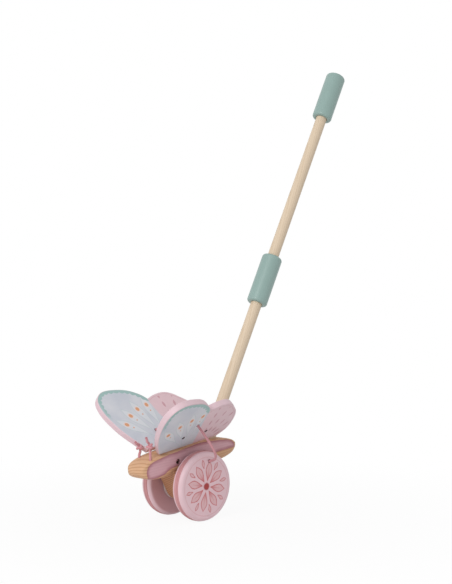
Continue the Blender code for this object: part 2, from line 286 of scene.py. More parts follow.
class Effect:
    """A look that several materials share, kept as one node group."""

    title: str = ""
    takes: dict[str, Any] = {}
    gives: tuple[str, ...] = ()

    def lay_out(self, sheet: Sheet, given: Vals) -> Vals:
        """Builds the group's nodes and returns its outputs by name."""
        raise NotImplementedError

    def tree(self) -> bpy.types.NodeTree:
        """The group's tree, built the first time it is asked for.

        Returns:
            The node group.
        """
        found = bpy.data.node_groups.get(self.title)
        if found:
            return found
        tree = bpy.data.node_groups.new(self.title, "ShaderNodeTree")
        for name, default in self.takes.items():
            kind = "NodeSocketVector" if isinstance(default, tuple) else "NodeSocketFloat"
            socket = tree.interface.new_socket(name, in_out="INPUT", socket_type=kind)
            socket.default_value = default
        for name in self.gives:
            tree.interface.new_socket(name, in_out="OUTPUT", socket_type="NodeSocketFloat")
        sheet = Sheet(tree)
        entry = sheet.add("NodeGroupInput")
        leave = sheet.add("NodeGroupOutput")
        given = {name: Val(sheet, entry.outputs[name]) for name in self.takes}
        made = self.lay_out(sheet, given)
        for name in self.gives:
            sheet.feed(leave.inputs[name], made[name])
        return tree

    def use(self, sheet: Sheet, given: dict[str, Any]) -> Vals:
        """Places the group in a material.

        Args:
            sheet: the material's sheet.
            given: values for the group's inputs, by name.

        Returns:
            The group's outputs by name.
        """
        node = sheet.add("ShaderNodeGroup", node_tree=self.tree())
        for name, value in given.items():
            sheet.feed(node.inputs[name], value)
        return {name: Val(sheet, node.outputs[name]) for name in self.gives}


class TimberGrain(Effect):
    """Growth rings about a lengthwise axis, with fine fibres along it."""

    title = "timber_grain"
    takes = {"Place": (0.0, 0.0, 0.0), "Ring Spacing": 3.0, "Waviness": 1.0, "Fibre Scale": 1.0}
    gives = ("Rings", "Fibres", "Tone", "Height")
    drift_reach = 8.0
    ripple_reach = 0.9
    late_wood = (0.45, 0.93)

    def lay_out(self, sheet: Sheet, given: Vals) -> Vals:
        """The axis is Z; X and Y cross the grain.

        Args:
            sheet: the group's nodes.
            given: the group's inputs by name.

        Returns:
            The group's outputs by name.
        """
        x, y, z = sheet.split(given["Place"])

        def slow(across: float, along: float, detail: float = 1.0) -> Val:
            """A noise that changes at these rates across and along the grain."""
            return sheet.noise(sheet.join(x * across, y * across, z * along), 1.0, detail)

        drift, ripple = slow(0.02, 0.009, 2.0) - 0.5, slow(0.1, 0.025) - 0.5
        warp = (drift * self.drift_reach + ripple * self.ripple_reach) * given["Waviness"]
        radius = sheet.length(x, y) + warp
        turn = radius / given["Ring Spacing"]
        phase = sheet.maths("FRACT", turn)
        strength = sheet.noise(sheet.join(sheet.maths("FLOOR", turn) * 3.7, 0.0, z * 0.006), 1.0)
        late = sheet.ramp(phase, *self.late_wood) * sheet.ramp(phase, 1.0, 0.94)
        late = late * (strength * 1.3 + 0.2)
        fine = sheet.join(x * given["Fibre Scale"], y * given["Fibre Scale"], z * 0.035)
        fibres = sheet.noise(fine, 2.2, 3.0, 0.6)
        return {"Rings": late, "Fibres": fibres, "Tone": slow(0.05, 0.008),
                "Height": late * 0.35 + fibres * 0.65}


class PaintSkin(Effect):
    """The slight unevenness of a sprayed coat."""

    title = "paint_skin"
    takes = {"Place": (0.0, 0.0, 0.0), "Cloud Scale": 0.05, "Pimple Scale": 1.6}
    gives = ("Cloud", "Height")

    def lay_out(self, sheet: Sheet, given: Vals) -> Vals:
        """A broad cloud for colour and a fine one for bump."""
        return {"Cloud": sheet.noise(given["Place"], given["Cloud Scale"], 3.0, 0.55),
                "Height": sheet.noise(given["Place"], given["Pimple Scale"], 2.0, 0.6)}


class EdgeRub(Effect):
    """Where handling has rubbed the edges of a piece."""

    title = "edge_rub"
    takes = {"Place": (0.0, 0.0, 0.0), "Edge": 0.0, "Amount": 0.5}
    gives = ("Rub",)

    def lay_out(self, sheet: Sheet, given: Vals) -> Vals:
        """The stored edge value, broken up by a noise."""
        patches = sheet.ramp(sheet.noise(given["Place"], 0.35, 3.0, 0.6), 0.42, 0.68)
        return {"Rub": sheet.maths("MINIMUM", given["Edge"] * patches * given["Amount"], 1.0)}


class CordPlait(Effect):
    """The small crossing strands of a plaited cord."""

    title = "cord_plait"
    takes = {"Lay": (0.0, 0.0, 0.0), "Strands": 5.0, "Pitch": 2.6}
    gives = ("Strand", "Height", "Fluff")

    def lay_out(self, sheet: Sheet, given: Vals) -> Vals:
        """Two sets of slanting strands that pass over each other.

        Args:
            sheet: the group's nodes.
            given: the group's inputs by name.

        Returns:
            The group's outputs by name.
        """
        along, around, _ = sheet.split(given["Lay"])
        turn = around * given["Strands"] * math.tau
        run = along * math.tau / given["Pitch"]
        first = sheet.maths("SINE", run + turn)
        second = sheet.maths("SINE", run - turn)
        strand = first * second * 0.5 + 0.5
        fluff = sheet.noise(sheet.join(along * 1.3, around * 9.0, 0.0), 2.0, 3.0, 0.7)
        return {"Strand": strand, "Height": strand * 0.75 + fluff * 0.25, "Fluff": fluff}


class WheelRosette(Effect):
    """A plain eight-leaved rosette in rings, drawn round the wheel's hub."""

    title = "wheel_rosette"
    takes = {"Place": (0.0, 0.0, 0.0), "Face": 8.6}
    gives = ("Leaf", "Line", "Hub", "Glow")
    leaves = 8
    twist = 0.2
    large_leaf = (6.5, 30.5, 4.7)
    small_leaf = (22.5, 33.5, 1.9)
    band_radius = 36.2
    hub_edge = (5.6, 3.4)

    def lay_out(self, sheet: Sheet, given: Vals) -> Vals:
        """Distances are in millimetres in the plane of the face.

        Args:
            sheet: the group's nodes.
            given: the group's inputs by name.

        Returns:
            The group's outputs by name.
        """
        x, y, z = sheet.split(given["Place"])
        brush = sheet.noise(given["Place"], 0.25, 2.0)
        radius = sheet.length(x, y) + (brush - 0.5) * 1.2
        angle = sheet.maths("ARCTAN2", y, x) + (brush - 0.5) * 0.05
        on_face = sheet.ramp(given["Face"] - z, 0.35, 0.15)
        half = math.pi / self.leaves

        def fold_in(fold: float) -> tuple[Val, Val]:
            """The distances across and along the leaf that a point is nearest to.

            Args:
                fold: how far the ring of leaves is turned, in radians.

            Returns:
                The two distances.
            """
            turned = sheet.maths("WRAP", angle + fold, half, -half)
            return (abs(radius * sheet.maths("SINE", turned)),
                    radius * sheet.maths("COSINE", turned))

        def leaf(fold: float, start: float, reach: float, width: float) -> Val:
            """The distance outside one ring of leaves, below zero inside.

            Args:
                fold: how far the ring is turned, in radians.
                start: the radius where its leaves begin.
                reach: the radius where they end.
                width: half their greatest width.

            Returns:
                The distance.
            """
            across, outward = fold_in(fold)
            share = sheet.maths("DIVIDE", outward - start, reach - start, clamp=True)
            belly = sheet.maths("SINE", sheet.maths("POWER", share, 1.35) * math.pi)
            return across - belly * width

        large = leaf(self.twist, *self.large_leaf)
        small = leaf(self.twist + half, *self.small_leaf)
        line = sheet.ramp(abs(large), 0.85, 0.35)
        inner = sheet.ramp(abs(small), 0.7, 0.25)
        body = sheet.ramp(radius, 6.8, 7.6) * sheet.ramp(radius, 31.5, 30.5)
        tips = sheet.ramp(radius, 22.4, 23.0) * sheet.ramp(radius, 34.2, 33.4)
        strokes = sheet.maths("MAXIMUM", line * body, inner * tips)
        vein = sheet.ramp(fold_in(self.twist)[0], 0.5, 0.15) * sheet.ramp(radius, 9.0, 10.5)
        strokes = sheet.maths("MAXIMUM", strokes, vein * sheet.ramp(radius, 24.5, 21.0) * 0.6)
        band = sheet.ramp(abs(radius - self.band_radius), 0.5, 0.2) * 0.4
        strokes = sheet.maths("MAXIMUM", strokes, band) * on_face
        filled = sheet.maths("MAXIMUM", sheet.ramp(large, 0.3, -0.3), sheet.ramp(small, 0.2, -0.2))
        hub = sheet.ramp(radius, *self.hub_edge) * on_face
        glow = sheet.ramp(radius, 20.0, 5.0) * sheet.ramp(large, 0.8, -1.2) * on_face
        return {"Leaf": filled * on_face, "Line": strokes * (brush * 0.7 + 0.55),
                "Hub": hub, "Glow": glow}


class WingPattern(Effect):
    """A scalloped rim, radiating drops on the fore lobe and leaves on the hind one."""

    title = "wing_pattern"
    takes = {"Place": (0.0, 0.0, 0.0), "Inset": 20.0, "Along": 0.0}
    gives = ("Hind", "Rim", "Drops", "Veins", "Halo", "Dots", "Leaves")
    scallop_length = 8.2
    fore_fan = (-8.0, -4.0)
    hind_fan = (16.0, -10.0)
    rib_degrees = 15.0
    last_rib = (143.0, 142.0)
    drop_start, drop_length, drop_half = 30.0, 50.0, 5.6
    bead_at, tiny_at = 65.0, 55.5
    leaf_rows = (27.0, 42.0)
    leaf_length, leaf_half = 5.2, 1.75
    line_inset = 3.2

    def lay_out(self, sheet: Sheet, given: Vals) -> Vals:
        """X runs along the hinge to the tail and Y outwards, in millimetres.

        Args:
            sheet: the group's nodes.
            given: the group's inputs by name.

        Returns:
            The group's outputs by name.
        """
        x, y, _ = sheet.split(given["Place"])
        inset = given["Inset"]
        brush = sheet.noise(given["Place"], 0.22, 2.0) - 0.5
        bend = sheet.ramp(y, 70.0, 0.0) * 9.0
        border = x + 2.5 - bend + brush * 1.6
        hind = sheet.ramp(border, -0.25, 0.25)
        fore = 1.0 - hind

        scallop = abs(sheet.maths("SINE", given["Along"] * (math.pi / self.scallop_length)))
        depth = scallop * 2.0 + 4.4 + brush * 1.0
        upper = sheet.ramp(y, 52.0, 66.0) * sheet.ramp(x, -78.0, -70.0)
        rim = sheet.ramp(inset - depth, 0.25, -0.25) * fore * upper

        def fan(centre: Pair, shift: float) -> tuple[Val, Val, Val]:
            """Distance, sideways offset in one rib and turn about a fan's centre.

            Args:
                centre: where the ribs meet.
                shift: how far they are turned, in degrees.

            Returns:
                The distance, the offset and the turn.
            """
            dx = x - centre[0]
            dy = y - centre[1]
            away = sheet.length(dx, dy)
            turn = sheet.maths("ARCTAN2", dy, dx) + math.radians(shift)
            half = math.radians(self.rib_degrees / 2)
            rib = sheet.maths("WRAP", turn, half, -half)
            return away, abs(away * sheet.maths("SINE", rib)), turn

        away, across, turn = fan(self.fore_fan, -1.0)
        ribbed = sheet.ramp(turn, *(math.radians(edge) for edge in self.last_rib))
        share = sheet.maths("DIVIDE", away - self.drop_start, self.drop_length, clamp=True)
        belly = sheet.maths("SINE", sheet.maths("POWER", share, 1.5) * math.pi) * self.drop_half
        drop = across - belly + brush * 0.8
        reach = sheet.ramp(away, 29.5, 31.0) * sheet.ramp(away, 81.0, 79.5)
        clear = sheet.ramp(inset, 6.0, 6.6) * sheet.ramp(border, -2.0, -3.0) * ribbed
        drops = sheet.ramp(drop, 0.3, -0.3) * reach * clear
        veins = sheet.ramp(abs(drop), 0.6, 0.2) * reach * clear
        stem = sheet.ramp(across, 0.55, 0.15) * sheet.ramp(away, 31.0, 28.0) * fore * ribbed
        veins = sheet.maths("MAXIMUM", veins, stem * 0.8)
        bead = sheet.length(across, (away - self.bead_at) * 0.8)
        halo = sheet.ramp(bead, 4.0, 3.4) * clear * fore
        dots = sheet.ramp(bead, 2.7, 2.3) * clear * fore
        tiny = sheet.length(across, away - self.tiny_at)
        dots = sheet.maths("MAXIMUM", dots, sheet.ramp(tiny, 1.2, 0.85) * clear * fore)

        away, across, _ = fan(self.hind_fan, 0.0)
        low, high = self.leaf_rows
        rows = sheet.maths("WRAP", away, high, low)
        tall = (rows - (low + high) / 2) / self.leaf_length
        leaf = across - (1.0 - tall * tall) * self.leaf_half
        inside = sheet.ramp(away, 26.0, 28.0) * sheet.ramp(inset, 4.0, 5.0)
        margin = sheet.ramp(border, 3.5, 5.0)
        leaves = sheet.ramp(leaf, 0.25, -0.25) * inside * margin
        lines = sheet.ramp(abs(inset - self.line_inset + brush), 0.45, 0.15)
        leaves = sheet.maths("MAXIMUM", leaves, lines * hind * 0.7)
        return {"Hind": hind, "Rim": rim, "Drops": drops, "Veins": veins, "Halo": halo,
                "Dots": dots, "Leaves": leaves}


# Finishes

def new_material(name: str) -> tuple[bpy.types.Material, Sheet]:
    """A new material and the sheet of its nodes.

    Args:
        name: the material's name.

    Returns:
        Both.
    """
    made = bpy.data.materials.new(name)
    made.use_nodes = True
    return made, Sheet(made.node_tree)


@dataclass(frozen=True)
class Finish:
    """A named finish: one material and the name of the slot that it belongs to."""

    name: str
    slot: str

    def material(self) -> bpy.types.Material:
        """The finish's material, made the first time it is asked for.

        Returns:
            The material.
        """
        found = bpy.data.materials.get(self.name)
        if found:
            return found
        made, sheet = new_material(self.name)
        self.dress(sheet)
        return made

    def dress(self, sheet: Sheet) -> None:
        """Lays out the finish's nodes and feeds the sheet's shader."""
        raise NotImplementedError

    @staticmethod
    def surface(sheet: Sheet, colour: Val, rough: Val, height: Val, depth: float) -> None:
        """Feeds the shader's colour, roughness and normal.

        Args:
            sheet: the material's nodes.
            colour: the base colour.
            rough: the roughness.
            height: the relief, from 0 to 1.
            depth: how deep the relief is, in millimetres.
        """
        normal = sheet.made("ShaderNodeBump", {"Distance": depth * MM, "Height": height})
        for name, value in (("Base Color", colour), ("Roughness", rough), ("Normal", normal)):
            sheet.feed(sheet.shader.inputs[name], value)


class GrainAxis(Enum):
    """Which of a piece's own axes its grain runs along, as an order of X, Y and Z."""

    ALONG_Y = (0, 2, 1)
    ALONG_Z = (0, 1, 2)
    ALONG_X = (1, 2, 0)


@dataclass(frozen=True, kw_only=True)
class Timber(Finish):
    """Bare wood with growth rings, fibres and rubbed edges."""

    light: Shade
    dark: Shade
    axis: GrainAxis = GrainAxis.ALONG_Z
    heart: Triple
    spacing: float
    waviness: float = 1.0
    contrast: float = 0.6
    roughness: float = 0.55
    gloss: float = 0.35
    relief: float = 0.12

    def grain(self, sheet: Sheet) -> Vals:
        """The grain's outputs at this piece.

        Args:
            sheet: the material's nodes.

        Returns:
            The grain's rings, fibres, tone and height.
        """
        parts = sheet.split(sheet.place())
        turned = [parts[index] - shift for index, shift in zip(self.axis.value, self.heart)]
        lean = turned[2] * 0.05
        place = sheet.join(turned[0] + lean, turned[1] + lean, turned[2])
        return TimberGrain().use(sheet, {"Place": place, "Ring Spacing": self.spacing,
                                         "Waviness": self.waviness})

    def wood_colour(self, sheet: Sheet, grain: Vals) -> Val:
        """The bare wood's colour.

        Args:
            sheet: the material's nodes.
            grain: the grain's outputs.

        Returns:
            The colour.
        """
        amount = grain["Rings"] * self.contrast + (grain["Fibres"] - 0.5) * 0.36
        amount = sheet.maths("ADD", amount, (grain["Tone"] - 0.5) * 0.5, clamp=True)
        return sheet.tint(amount, self.light, self.dark)

    def dress(self, sheet: Sheet) -> None:
        """Wood colour, a waxed roughness and fibre bump.

        Args:
            sheet: the material's nodes.
        """
        grain = self.grain(sheet)
        rough = grain["Fibres"] * 0.16 + (self.roughness - 0.08)
        sheet.shader.inputs["Specular IOR Level"].default_value = self.gloss
        colour = self.wood_colour(sheet, grain)
        self.surface(sheet, colour, rough, grain["Height"], self.relief)


@dataclass(frozen=True, kw_only=True)
class PanelledTimber(Timber):
    """The body's wood with a stained panel on each side."""

    stain: Shade
    stain_edge: Shade
    # Bore walls: bare wood darkened with painted shade for the holes' depth.
    bore_wood_and_shade: Shade = (0.05, 0.025, 0.02)
    relief: float = 0.14

    def dress(self, sheet: Sheet) -> None:
        """Bare wood outside the panel, a thin mauve stain inside it.

        Args:
            sheet: the material's nodes.
        """
        grain = self.grain(sheet)
        place = sheet.place()
        skin = PaintSkin().use(sheet, {"Place": place, "Cloud Scale": 0.09})
        x, _, _ = sheet.split(place)
        distance = sheet.stored("panel") + (skin["Cloud"] - 0.5) * 0.7
        sides = sheet.ramp(abs(x), 12.6, 13.2)
        inside = sheet.ramp(distance, 0.25, -0.25) * sides
        depth = sheet.ramp(distance, 0.2, -5.4)
        edge = (1.0 - depth) * 0.72 + (grain["Rings"] * 0.35 + skin["Cloud"] - 0.42) * 0.3
        stain = sheet.tint(sheet.maths("ADD", edge, 0.0, clamp=True), self.stain, self.stain_edge)
        rub = EdgeRub().use(sheet, {"Place": place, "Edge": sheet.stored("edge"), "Amount": 0.6})
        cover = inside * (0.94 - rub["Rub"] * 0.4)
        colour = sheet.tint(cover, self.wood_colour(sheet, grain), stain)
        # Painted shade: the side holes' walls are darkened towards the bore colour.
        colour = sheet.tint(sheet.stored("bore"), colour, self.bore_wood_and_shade)
        rough = grain["Fibres"] * 0.14 + 0.5 - inside * 0.06
        sheet.shader.inputs["Specular IOR Level"].default_value = self.gloss
        height = grain["Height"] * (1.0 - inside * 0.7)
        self.surface(sheet, colour, rough, height, self.relief)


@dataclass(frozen=True, kw_only=True)
class Paint(Finish):
    """A satin coat on wood."""

    tone: Shade
    under: Shade
    variety: float = 0.06
    rub: float = 0.15
    roughness: float = 0.48
    gloss: float = 0.35
    # The colour of bore walls: painted shade for the holes' depth, over the wood.
    bore_wood_and_shade: Shade = (0.07, 0.03, 0.03)

    def coat_colour(self, sheet: Sheet, skin: Vals, place: Val) -> Val:
        """The coat with its clouds, worn thin at the edges."""
        shaded = tuple(c * (1 - 2 * self.variety) for c in self.tone)
        return self.worn(sheet, sheet.tint(skin["Cloud"], self.tone, shaded), place)

    def worn(self, sheet: Sheet, colour: Val, place: Val) -> Val:
        """A colour rubbed thin at the edges, and darkened inside bores by painted shade.

        Args:
            sheet: the material's nodes.
            colour: the fresh colour.
            place: the piece's coordinates.

        Returns:
            The worn colour.
        """
        edge = {"Place": place, "Edge": sheet.stored("edge"), "Amount": self.rub}
        colour = sheet.tint(EdgeRub().use(sheet, edge)["Rub"], colour, self.under)
        # Painted shade inside bores.
        return sheet.tint(sheet.stored("bore"), colour, self.bore_wood_and_shade)

    def coat(self, sheet: Sheet, colour: Val, cloud: Val, height: Val) -> None:
        """Feeds the shader with a satin coat.

        Args:
            sheet: the material's nodes.
            colour: the finished colour.
            cloud: what the roughness follows.
            height: the relief.
        """
        sheet.shader.inputs["Specular IOR Level"].default_value = self.gloss
        rough = cloud * 0.12 + (self.roughness - 0.06)
        self.surface(sheet, colour, rough, height, 0.035)

    def dress(self, sheet: Sheet) -> None:
        """Coat colour, satin roughness and a fine bump.

        Args:
            sheet: the material's nodes.
        """
        place = sheet.place()
        skin = PaintSkin().use(sheet, {"Place": place})
        colour = self.coat_colour(sheet, skin, place)
        self.coat(sheet, colour, skin["Cloud"], skin["Height"])


@dataclass(frozen=True, kw_only=True)
class RosettePaint(Paint):
    """A wheel's coat with the rosette on its outer face."""

    leaf: Shade
    line: Shade
    hub: Shade
    # Painted shade on the inboard face, which lies between the wheels.
    inboard_shade: Shade

    def dress(self, sheet: Sheet) -> None:
        """The plain coat, painted shade on the inboard face, then leaves, strokes and hub.

        Args:
            sheet: the material's nodes.
        """
        place = sheet.place()
        skin = PaintSkin().use(sheet, {"Place": place})
        rosette = WheelRosette().use(sheet, {"Place": place})
        colour = self.coat_colour(sheet, skin, place)
        _, _, z = sheet.split(place)
        # Painted shade: the inboard face, which lies in the shade between the wheels, is coloured
        # darker.
        colour = sheet.tint(sheet.ramp(z, -7.6, -8.5) * 0.85, colour, self.inboard_shade)
        for mark, share, tone in (("Leaf", 0.7, self.leaf), ("Glow", 0.85, self.line),
                                  ("Line", 0.9, self.line), ("Hub", 1.0, self.hub)):
            colour = sheet.tint(rosette[mark] * share, colour, tone)
        self.coat(sheet, colour, skin["Cloud"], skin["Height"] + rosette["Line"] * 0.4)


@dataclass(frozen=True, kw_only=True)
class WingPaint(Paint):
    """A wing's coat: a painted edge, and the printed pattern on both faces."""

    field_deep: Shade
    rim: Shade
    hind: Shade
    leaf: Shade
    drop: Shade
    dot: Shade
    edge: Shade

    def dress(self, sheet: Sheet) -> None:
        """The pattern in layers, then the edge coat over the thickness.

        Args:
            sheet: the material's nodes.
        """
        place = sheet.place()
        skin = PaintSkin().use(sheet, {"Place": place, "Cloud Scale": 0.07})
        inset = sheet.stored("inset")
        shapes = WingPattern().use(sheet, {"Place": place, "Inset": inset,
                                           "Along": sheet.stored("along")})
        wash = sheet.ramp(sheet.noise(place, 0.03, 3.0), 0.3, 0.75)
        colour = sheet.tint(wash, self.tone, self.field_deep)
        pale = tuple(held(c * 1.09) for c in self.hind)
        hind = sheet.tint(skin["Cloud"], pale, self.hind)
        for mark, share, tone in (("Drops", 0.6, self.drop), ("Veins", 0.35, self.rim),
                                  ("Halo", 0.9, self.under), ("Rim", 1.0, self.rim),
                                  ("Hind", 1.0, hind), ("Leaves", 0.6, self.leaf),
                                  ("Dots", 1.0, self.dot)):
            colour = sheet.tint(shapes[mark] * share, colour, tone)
        wall = sheet.ramp(inset, 0.95, 0.65)
        colour = sheet.tint(wall, colour, sheet.tint(skin["Cloud"], self.edge, self.hind))
        colour = self.worn(sheet, colour, place)
        self.coat(sheet, colour, skin["Cloud"], skin["Height"] + shapes["Veins"] * 0.3)


@dataclass(frozen=True, kw_only=True)
class Rubber(Finish):
    """Soft moulded rubber with a dusty tread."""

    body: Shade
    dusty: Shade
    seam: float = 1.6

    def dress(self, sheet: Sheet) -> None:
        """Matt, with paler dusty patches here and there and painted shade darkening the seam
        groove.

        Args:
            sheet: the material's nodes.
        """
        place = sheet.place()
        skin = PaintSkin().use(sheet, {"Place": place, "Pimple Scale": 3.0})
        _, _, z = sheet.split(place)
        # Painted shade: the seam groove is darkened.
        groove = sheet.ramp(abs(z - self.seam), 0.7, 0.2)
        dust = sheet.ramp(skin["Cloud"], 0.45, 0.75) * 0.5
        colour = sheet.tint(dust, self.body, self.dusty)
        colour = sheet.tint(groove * 0.8, colour, tuple(c * 0.72 for c in self.body))
        self.surface(sheet, colour, skin["Cloud"] * 0.15 + 0.55, skin["Height"], 0.05)


@dataclass(frozen=True, kw_only=True)
class Cordage(Finish):
    """Plaited cotton cord."""

    fibre: Shade
    shadow: Shade

    def dress(self, sheet: Sheet) -> None:
        """Strand shading, cut ends darkened by painted shade, and a soft sheen.

        Args:
            sheet: the material's nodes.
        """
        plait = CordPlait().use(sheet, {"Lay": sheet.lay()})
        amount = (1.0 - plait["Strand"]) * 0.5 + (plait["Fluff"] - 0.5) * 0.35
        colour = sheet.tint(sheet.maths("ADD", amount, 0.0, clamp=True), self.fibre, self.shadow)
        # Painted shade at the cut ends, in the shadow colour.
        colour = sheet.tint(sheet.stored("cut") * 0.7, colour, self.shadow)
        sheet.shader.inputs["Sheen Weight"].default_value = 0.25
        sheet.shader.inputs["Sheen Roughness"].default_value = 0.5
        self.surface(sheet, colour, plait["Fluff"] * 0.2 + 0.72, plait["Height"], 0.16)


@dataclass(frozen=True, kw_only=True)
class Metal(Finish):
    """Turned metal with fine tool marks."""

    bright: Shade
    dull: Shade

    def dress(self, sheet: Sheet) -> None:
        """Bright metal with duller patches and ring marks.

        Args:
            sheet: the material's nodes.
        """
        place = sheet.place()
        skin = PaintSkin().use(sheet, {"Place": place, "Cloud Scale": 0.4, "Pimple Scale": 6.0})
        colour = sheet.tint(skin["Cloud"], self.bright, self.dull)
        sheet.shader.inputs["Metallic"].default_value = 1.0
        self.surface(sheet, colour, skin["Cloud"] * 0.25 + 0.18, skin["Height"], 0.02)


PALE_UNDER = written(232, 214, 208)
BODY_TIMBER = PanelledTimber(
    "body_timber", "body_wood", light=written(216, 173, 136), dark=written(174, 122, 84),
    axis=GrainAxis.ALONG_Y, heart=(3.0, -14.0, 0.0), spacing=3.2, contrast=0.62,
    stain=written(214, 170, 180), stain_edge=written(156, 82, 96))
# The block's wood is darkened to paint in the shade that falls under the body and between the
# wheels.
BLOCK_TIMBER_AND_SHADE = Timber(
    "block_timber", "block_wood", light=written(200, 148, 112), dark=written(134, 82, 56),
    axis=GrainAxis.ALONG_X, heart=(-60.0, -8.0, 0.0), spacing=3.2, waviness=1.5, contrast=0.8)
DOWEL_TIMBER = Timber(
    "dowel_timber", "body_wood", light=written(214, 180, 140), dark=written(176, 136, 98),
    heart=(-9.0, -6.0, 0.0), spacing=2.0)
STICK_TIMBER = Timber(
    "stick_timber", "stick_wood", light=written(223, 203, 178), dark=written(201, 175, 143),
    heart=(9.0, -26.0, 0.0), spacing=2.6, waviness=0.55, contrast=0.4, roughness=0.5)
SAGE_PAINT = Paint("sage_coat", "sage_paint", tone=written(147, 174, 168),
                   under=written(214, 208, 190), roughness=0.38, gloss=0.6)
# The wheel's inboard colour is painted shade for the inner faces between the wheels.
WHEEL_PAINT = RosettePaint(
    "wheel_coat", "wheel_paint", tone=written(237, 203, 210), under=PALE_UNDER, gloss=0.5,
    leaf=written(220, 172, 175), line=written(196, 92, 94), hub=written(166, 54, 54),
    inboard_shade=written(202, 156, 162))
RING_RUBBER = Rubber("moulded_rubber", "ring_rubber", body=written(206, 146, 149),
                     dusty=written(216, 164, 166))
SPACER_PAINT = Paint("spacer_coat", "spacer_paint", tone=written(220, 204, 200),
                     under=PALE_UNDER)
WING_PAINT = WingPaint(
    "wing_coat", "wing_print", tone=written(214, 215, 221), under=PALE_UNDER,
    field_deep=written(198, 202, 212), rim=written(160, 190, 187), hind=written(222, 193, 199),
    leaf=written(190, 128, 140), drop=written(222, 224, 228), dot=written(219, 158, 120),
    edge=written(226, 198, 207))
ROSE_CORD = Cordage("rose_cordage", "rose_cord", fibre=written(218, 157, 164),
                    shadow=written(174, 105, 114))
AXLE_METAL = Metal("plated_axle", "steel", bright=written(200, 199, 194),
                   dull=written(160, 158, 152))
NUT_BRASS = Metal("nut_brass", "brass", bright=written(216, 184, 120), dull=written(170, 138, 84))


# Mesh building

def close_mesh(name: str, work: Work) -> Mesh:
    """Turns finished mesh work into a mesh with its faces outwards.

    Args:
        name: the mesh's name.
        work: the mesh work, which is used up.

    Returns:
        The mesh.
    """
    bmesh.ops.recalc_face_normals(work, faces=work.faces)
    mesh = bpy.data.meshes.new(name)
    work.to_mesh(mesh)
    work.free()
    return mesh


def stitch(work: Work, row: Sequence[Any], following: Sequence[Any]) -> list[Face]:
    """Joins two rows of points by quads, or by a fan where one row is a single point.

    Args:
        work: the mesh work.
        row: one row's points.
        following: the next row's points.

    Returns:
        The new faces.
    """
    made = []
    count = max(len(row), len(following))
    for i in range(count):
        after = (i + 1) % count
        corners = []
        for points, order in ((row, (i, after)), (following, (after, i))):
            corners += [points[0]] if len(points) == 1 else [points[k] for k in order]
        made.append(work.faces.new(corners))
    return made


def turned(profile: Sequence[Pair], steps: int = 96) -> Mesh:
    """A lathe shape about Z.

    Args:
        profile: radius and height in millimetres. It closes on itself unless it
            starts on the axis.
        steps: how many faces go round.

    Returns:
        The closed mesh, in metres.
    """
    work = bmesh.new()
    rows = []
    for radius, height in profile:
        turns = [math.tau * i / steps for i in range(steps)] if radius > 1e-6 else [0.0]
        rows.append([work.verts.new((radius * math.cos(t) * MM, radius * math.sin(t) * MM,
                                     height * MM)) for t in turns])
    for row, following in zip(rows, rows[1:]):
        stitch(work, row, following)
    if profile[0][0] > 1e-6:
        stitch(work, rows[-1], rows[0])
    return close_mesh("turned", work)


def arc(centre: Pair, radius: float, start: float, end: float, steps: int) -> list[Pair]:
    """Points of an arc in a profile, angles in degrees from the outward direction."""
    turns = [math.radians(start + (end - start) * i / steps) for i in range(steps + 1)]
    return [(centre[0] + radius * math.cos(t), centre[1] + radius * math.sin(t)) for t in turns]


def barrel(inner: float, outer: float, low: float, high: float, soft: float) -> list[Pair]:
    """The profile of a plain disc or rod with softened edges, from its top down."""
    return [(inner, high), (outer - soft, high), (outer, high - soft), (outer, low + soft),
            (outer - soft, low), (inner, low)]


def smooth_run(points: Sequence[Sequence[float]], pieces: int) -> list[Vector]:
    """A smooth curve through the points, with some pieces for each gap.

    Args:
        points: the points, on three axes.
        pieces: how many pieces each gap gets.

    Returns:
        The curve's points.
    """
    ends = [points[0], *points, points[-1]]
    run = []
    for i in range(1, len(ends) - 2):
        a, b, c, d = (Vector(p) for p in ends[i - 1:i + 3])
        for k in range(pieces):
            t = k / pieces
            run.append(0.5 * ((2 * b) + (c - a) * t + (2 * a - 5 * b + 4 * c - d) * t * t
                              + (3 * b - a - 3 * c + d) * t ** 3))
    run.append(Vector(points[-1]))
    return run


def even_run(points: Sequence[Sequence[float]], spacing: float) -> list[Vector]:
    """The same line with evenly spaced points.

    Args:
        points: the line's points.
        spacing: about how far apart the new ones are.

    Returns:
        The new points.
    """
    line = np.array([tuple(p) for p in points], float)
    along = np.concatenate([[0.0], np.cumsum(np.linalg.norm(np.diff(line, axis=0), axis=1))])
    count = max(2, round(along[-1] / spacing) + 1)
    stops = np.linspace(0.0, along[-1], count)
    return [Vector(p) for p in np.stack([np.interp(stops, along, line[:, k])
                                         for k in range(3)], 1)]


